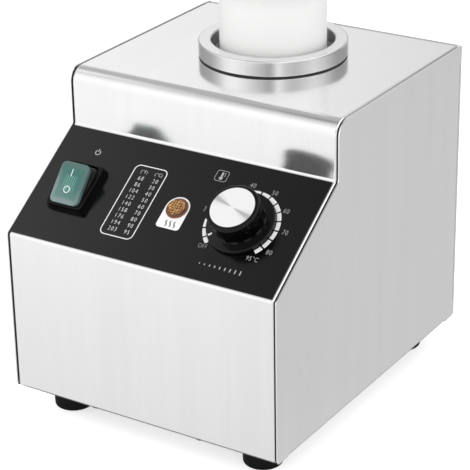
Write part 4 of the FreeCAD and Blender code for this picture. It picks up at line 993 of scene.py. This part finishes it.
def makeWorld():
    world = bpy.data.worlds.new("studio_world")
    bpy.context.scene.world = world
    world.use_nodes = True
    sky = Board(world.node_tree)
    x, y, z = sky.split(sky.node("ShaderNodeTexCoord", out="Generated"))
    mirrored = sky.ramp(z + y * studio["skyLean"], studio["skyMirror"])
    bearing = x.maths("ARCTAN2", y * -1.0) / (2 * math.pi) + 0.5  # 0.5 lies straight ahead, more lies to the right
    belt = sky.ramp(bearing, [(angle / 360 + 0.5, shade) for angle, shade in studio["belt"]])
    inBelt = sky.smooth(z, *studio["beltFrom"]) * (1 - sky.smooth(z, *studio["beltTo"]))
    mirrored = sky.blendColour(inBelt, mirrored, belt)
    onPanel = sky.smooth(y, *studio["panelFront"]) * (1 - sky.smooth(y, *studio["panelBack"])) \
        * sky.smooth(z, *studio["panelAbove"])
    panel = sky.ramp(x + 1.0, [(place + 1.0, shade) for place, shade in studio["panel"]])
    mirrored = sky.blendColour(onPanel, mirrored, panel, "MULTIPLY")
    above = sky.smooth(x, *studio["overRight"]) * sky.smooth(z, *studio["overAbove"])
    mirrored = sky.blendColour(above, mirrored, grey(studio["over"]))
    low = 1 - sky.smooth(z, *studio["lowUnder"])
    mirrored = sky.blendColour(leftRear(sky, x, y) * low, mirrored, grey(studio["leftRear"]))
    farRight = sky.smooth(x, *studio["skyRight"]) * sky.smooth(y, *studio["skyBehind"])
    mirrored = sky.blendColour(farRight * low, mirrored, grey(studio["farRight"]))
    camera, bounced = sky.rays()
    seen = sky.blendColour(bounced, grey(studio["plain"]), mirrored)
    sky.plug(world.node_tree.nodes["Background"].inputs["Color"], sky.blendColour(camera, seen, grey(1.0)))


def makeFloor():
    shape = bmesh.new()
    bmesh.ops.create_circle(shape, cap_ends=True, segments=96, radius=paper["radius"])
    floor = newObject("floor", shape)
    finish = Finish("floor_paper")
    x, y, z = finish.split(finish.place)
    depth = x * paper["across"] + y * paper["along"]
    mirrored = finish.ramp(depth * 0.5 + 0.5, [(place * 0.5 + 0.5, shade) for place, shade in paper["mirror"]])
    mirrored = finish.blendColour(leftRear(finish, x, y), mirrored, grey(studio["leftRear"]))
    mirrored = finish.blendColour(finish.smooth(depth, *paper["farRight"]), mirrored, grey(studio["farRight"]))
    # painted shadow: under the cabinet and just around it, the floor that the metal mirrors is nearly black
    (left, front, low), (right, rear, high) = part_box("front_top_cover")
    beyond = (abs(x) - right).maths("MAXIMUM", abs(y - (front + rear) / 2) - (rear - front) / 2)
    mirrored = finish.blendColour(finish.smooth(beyond, *paper["shadowUnderEdge"]), grey(paper["under"]), mirrored)
    camera, bounced = finish.rays()
    matt = finish.node("ShaderNodeBsdfDiffuse", {"Color": grey(paper["colour"])})
    lift = finish.node("ShaderNodeEmission", {"Color": grey(1.0), "Strength": camera * paper["glow"]})
    own = finish.node("ShaderNodeAddShader", [matt, lift])
    shown = finish.node("ShaderNodeEmission", {"Color": mirrored, "Strength": 1.0})
    mixed = finish.node("ShaderNodeMixShader", [bounced, own, shown])
    finish.plug(finish.tree.nodes["Material Output"].inputs["Surface"], mixed)
    finish.tree.nodes.remove(finish.shader)
    floor.data.materials.append(finish.material)


makeWorld()
makeFloor()

lamps = {"key": {"from": (-0.76, -0.44, 0.47), "distance": 2.2, "size": 1.5, "watts": 6.2},
         "fill": {"from": (0.85, -0.35, 0.4), "distance": 2.2, "size": 1.5, "watts": 5.0}}
for name, lamp in lamps.items():
    light = bpy.data.lights.new(name, "AREA")
    light.shape = "DISK"
    light.size = lamp["size"]
    light.energy = lamp["watts"]
    lampPiece = bpy.data.objects.new(name, light)
    bpy.context.scene.collection.objects.link(lampPiece)
    towards = Vector(lamp["from"]).normalized()
    lampPiece.location = towards * lamp["distance"]
    lampPiece.rotation_euler = towards.to_track_quat("Z", "Y").to_euler()
    lampPiece.visible_glossy = False
print("studio lit")


# the photograph's viewpoint
view = {"place": (0.63529, -1.003754, 0.636295), "azimuth": 32.7039, "elevation": 24.312, "roll": -1.0197,
        "lens": 150.142, "sensor": 36.0}
cameraData = bpy.data.cameras.new("camera")
cameraData.lens = view["lens"]
cameraData.sensor_width = view["sensor"]
camera = bpy.data.objects.new("camera", cameraData)
bpy.context.scene.collection.objects.link(camera)
aim = Matrix.Translation(view["place"])
for axis, degrees in (("Z", view["azimuth"]), ("X", 90 - view["elevation"]), ("Z", view["roll"])):
    aim = aim @ Matrix.Rotation(math.radians(degrees), 4, axis)
camera.matrix_world = aim
bpy.context.scene.camera = camera
bpy.context.scene.view_settings.view_transform = "Standard"
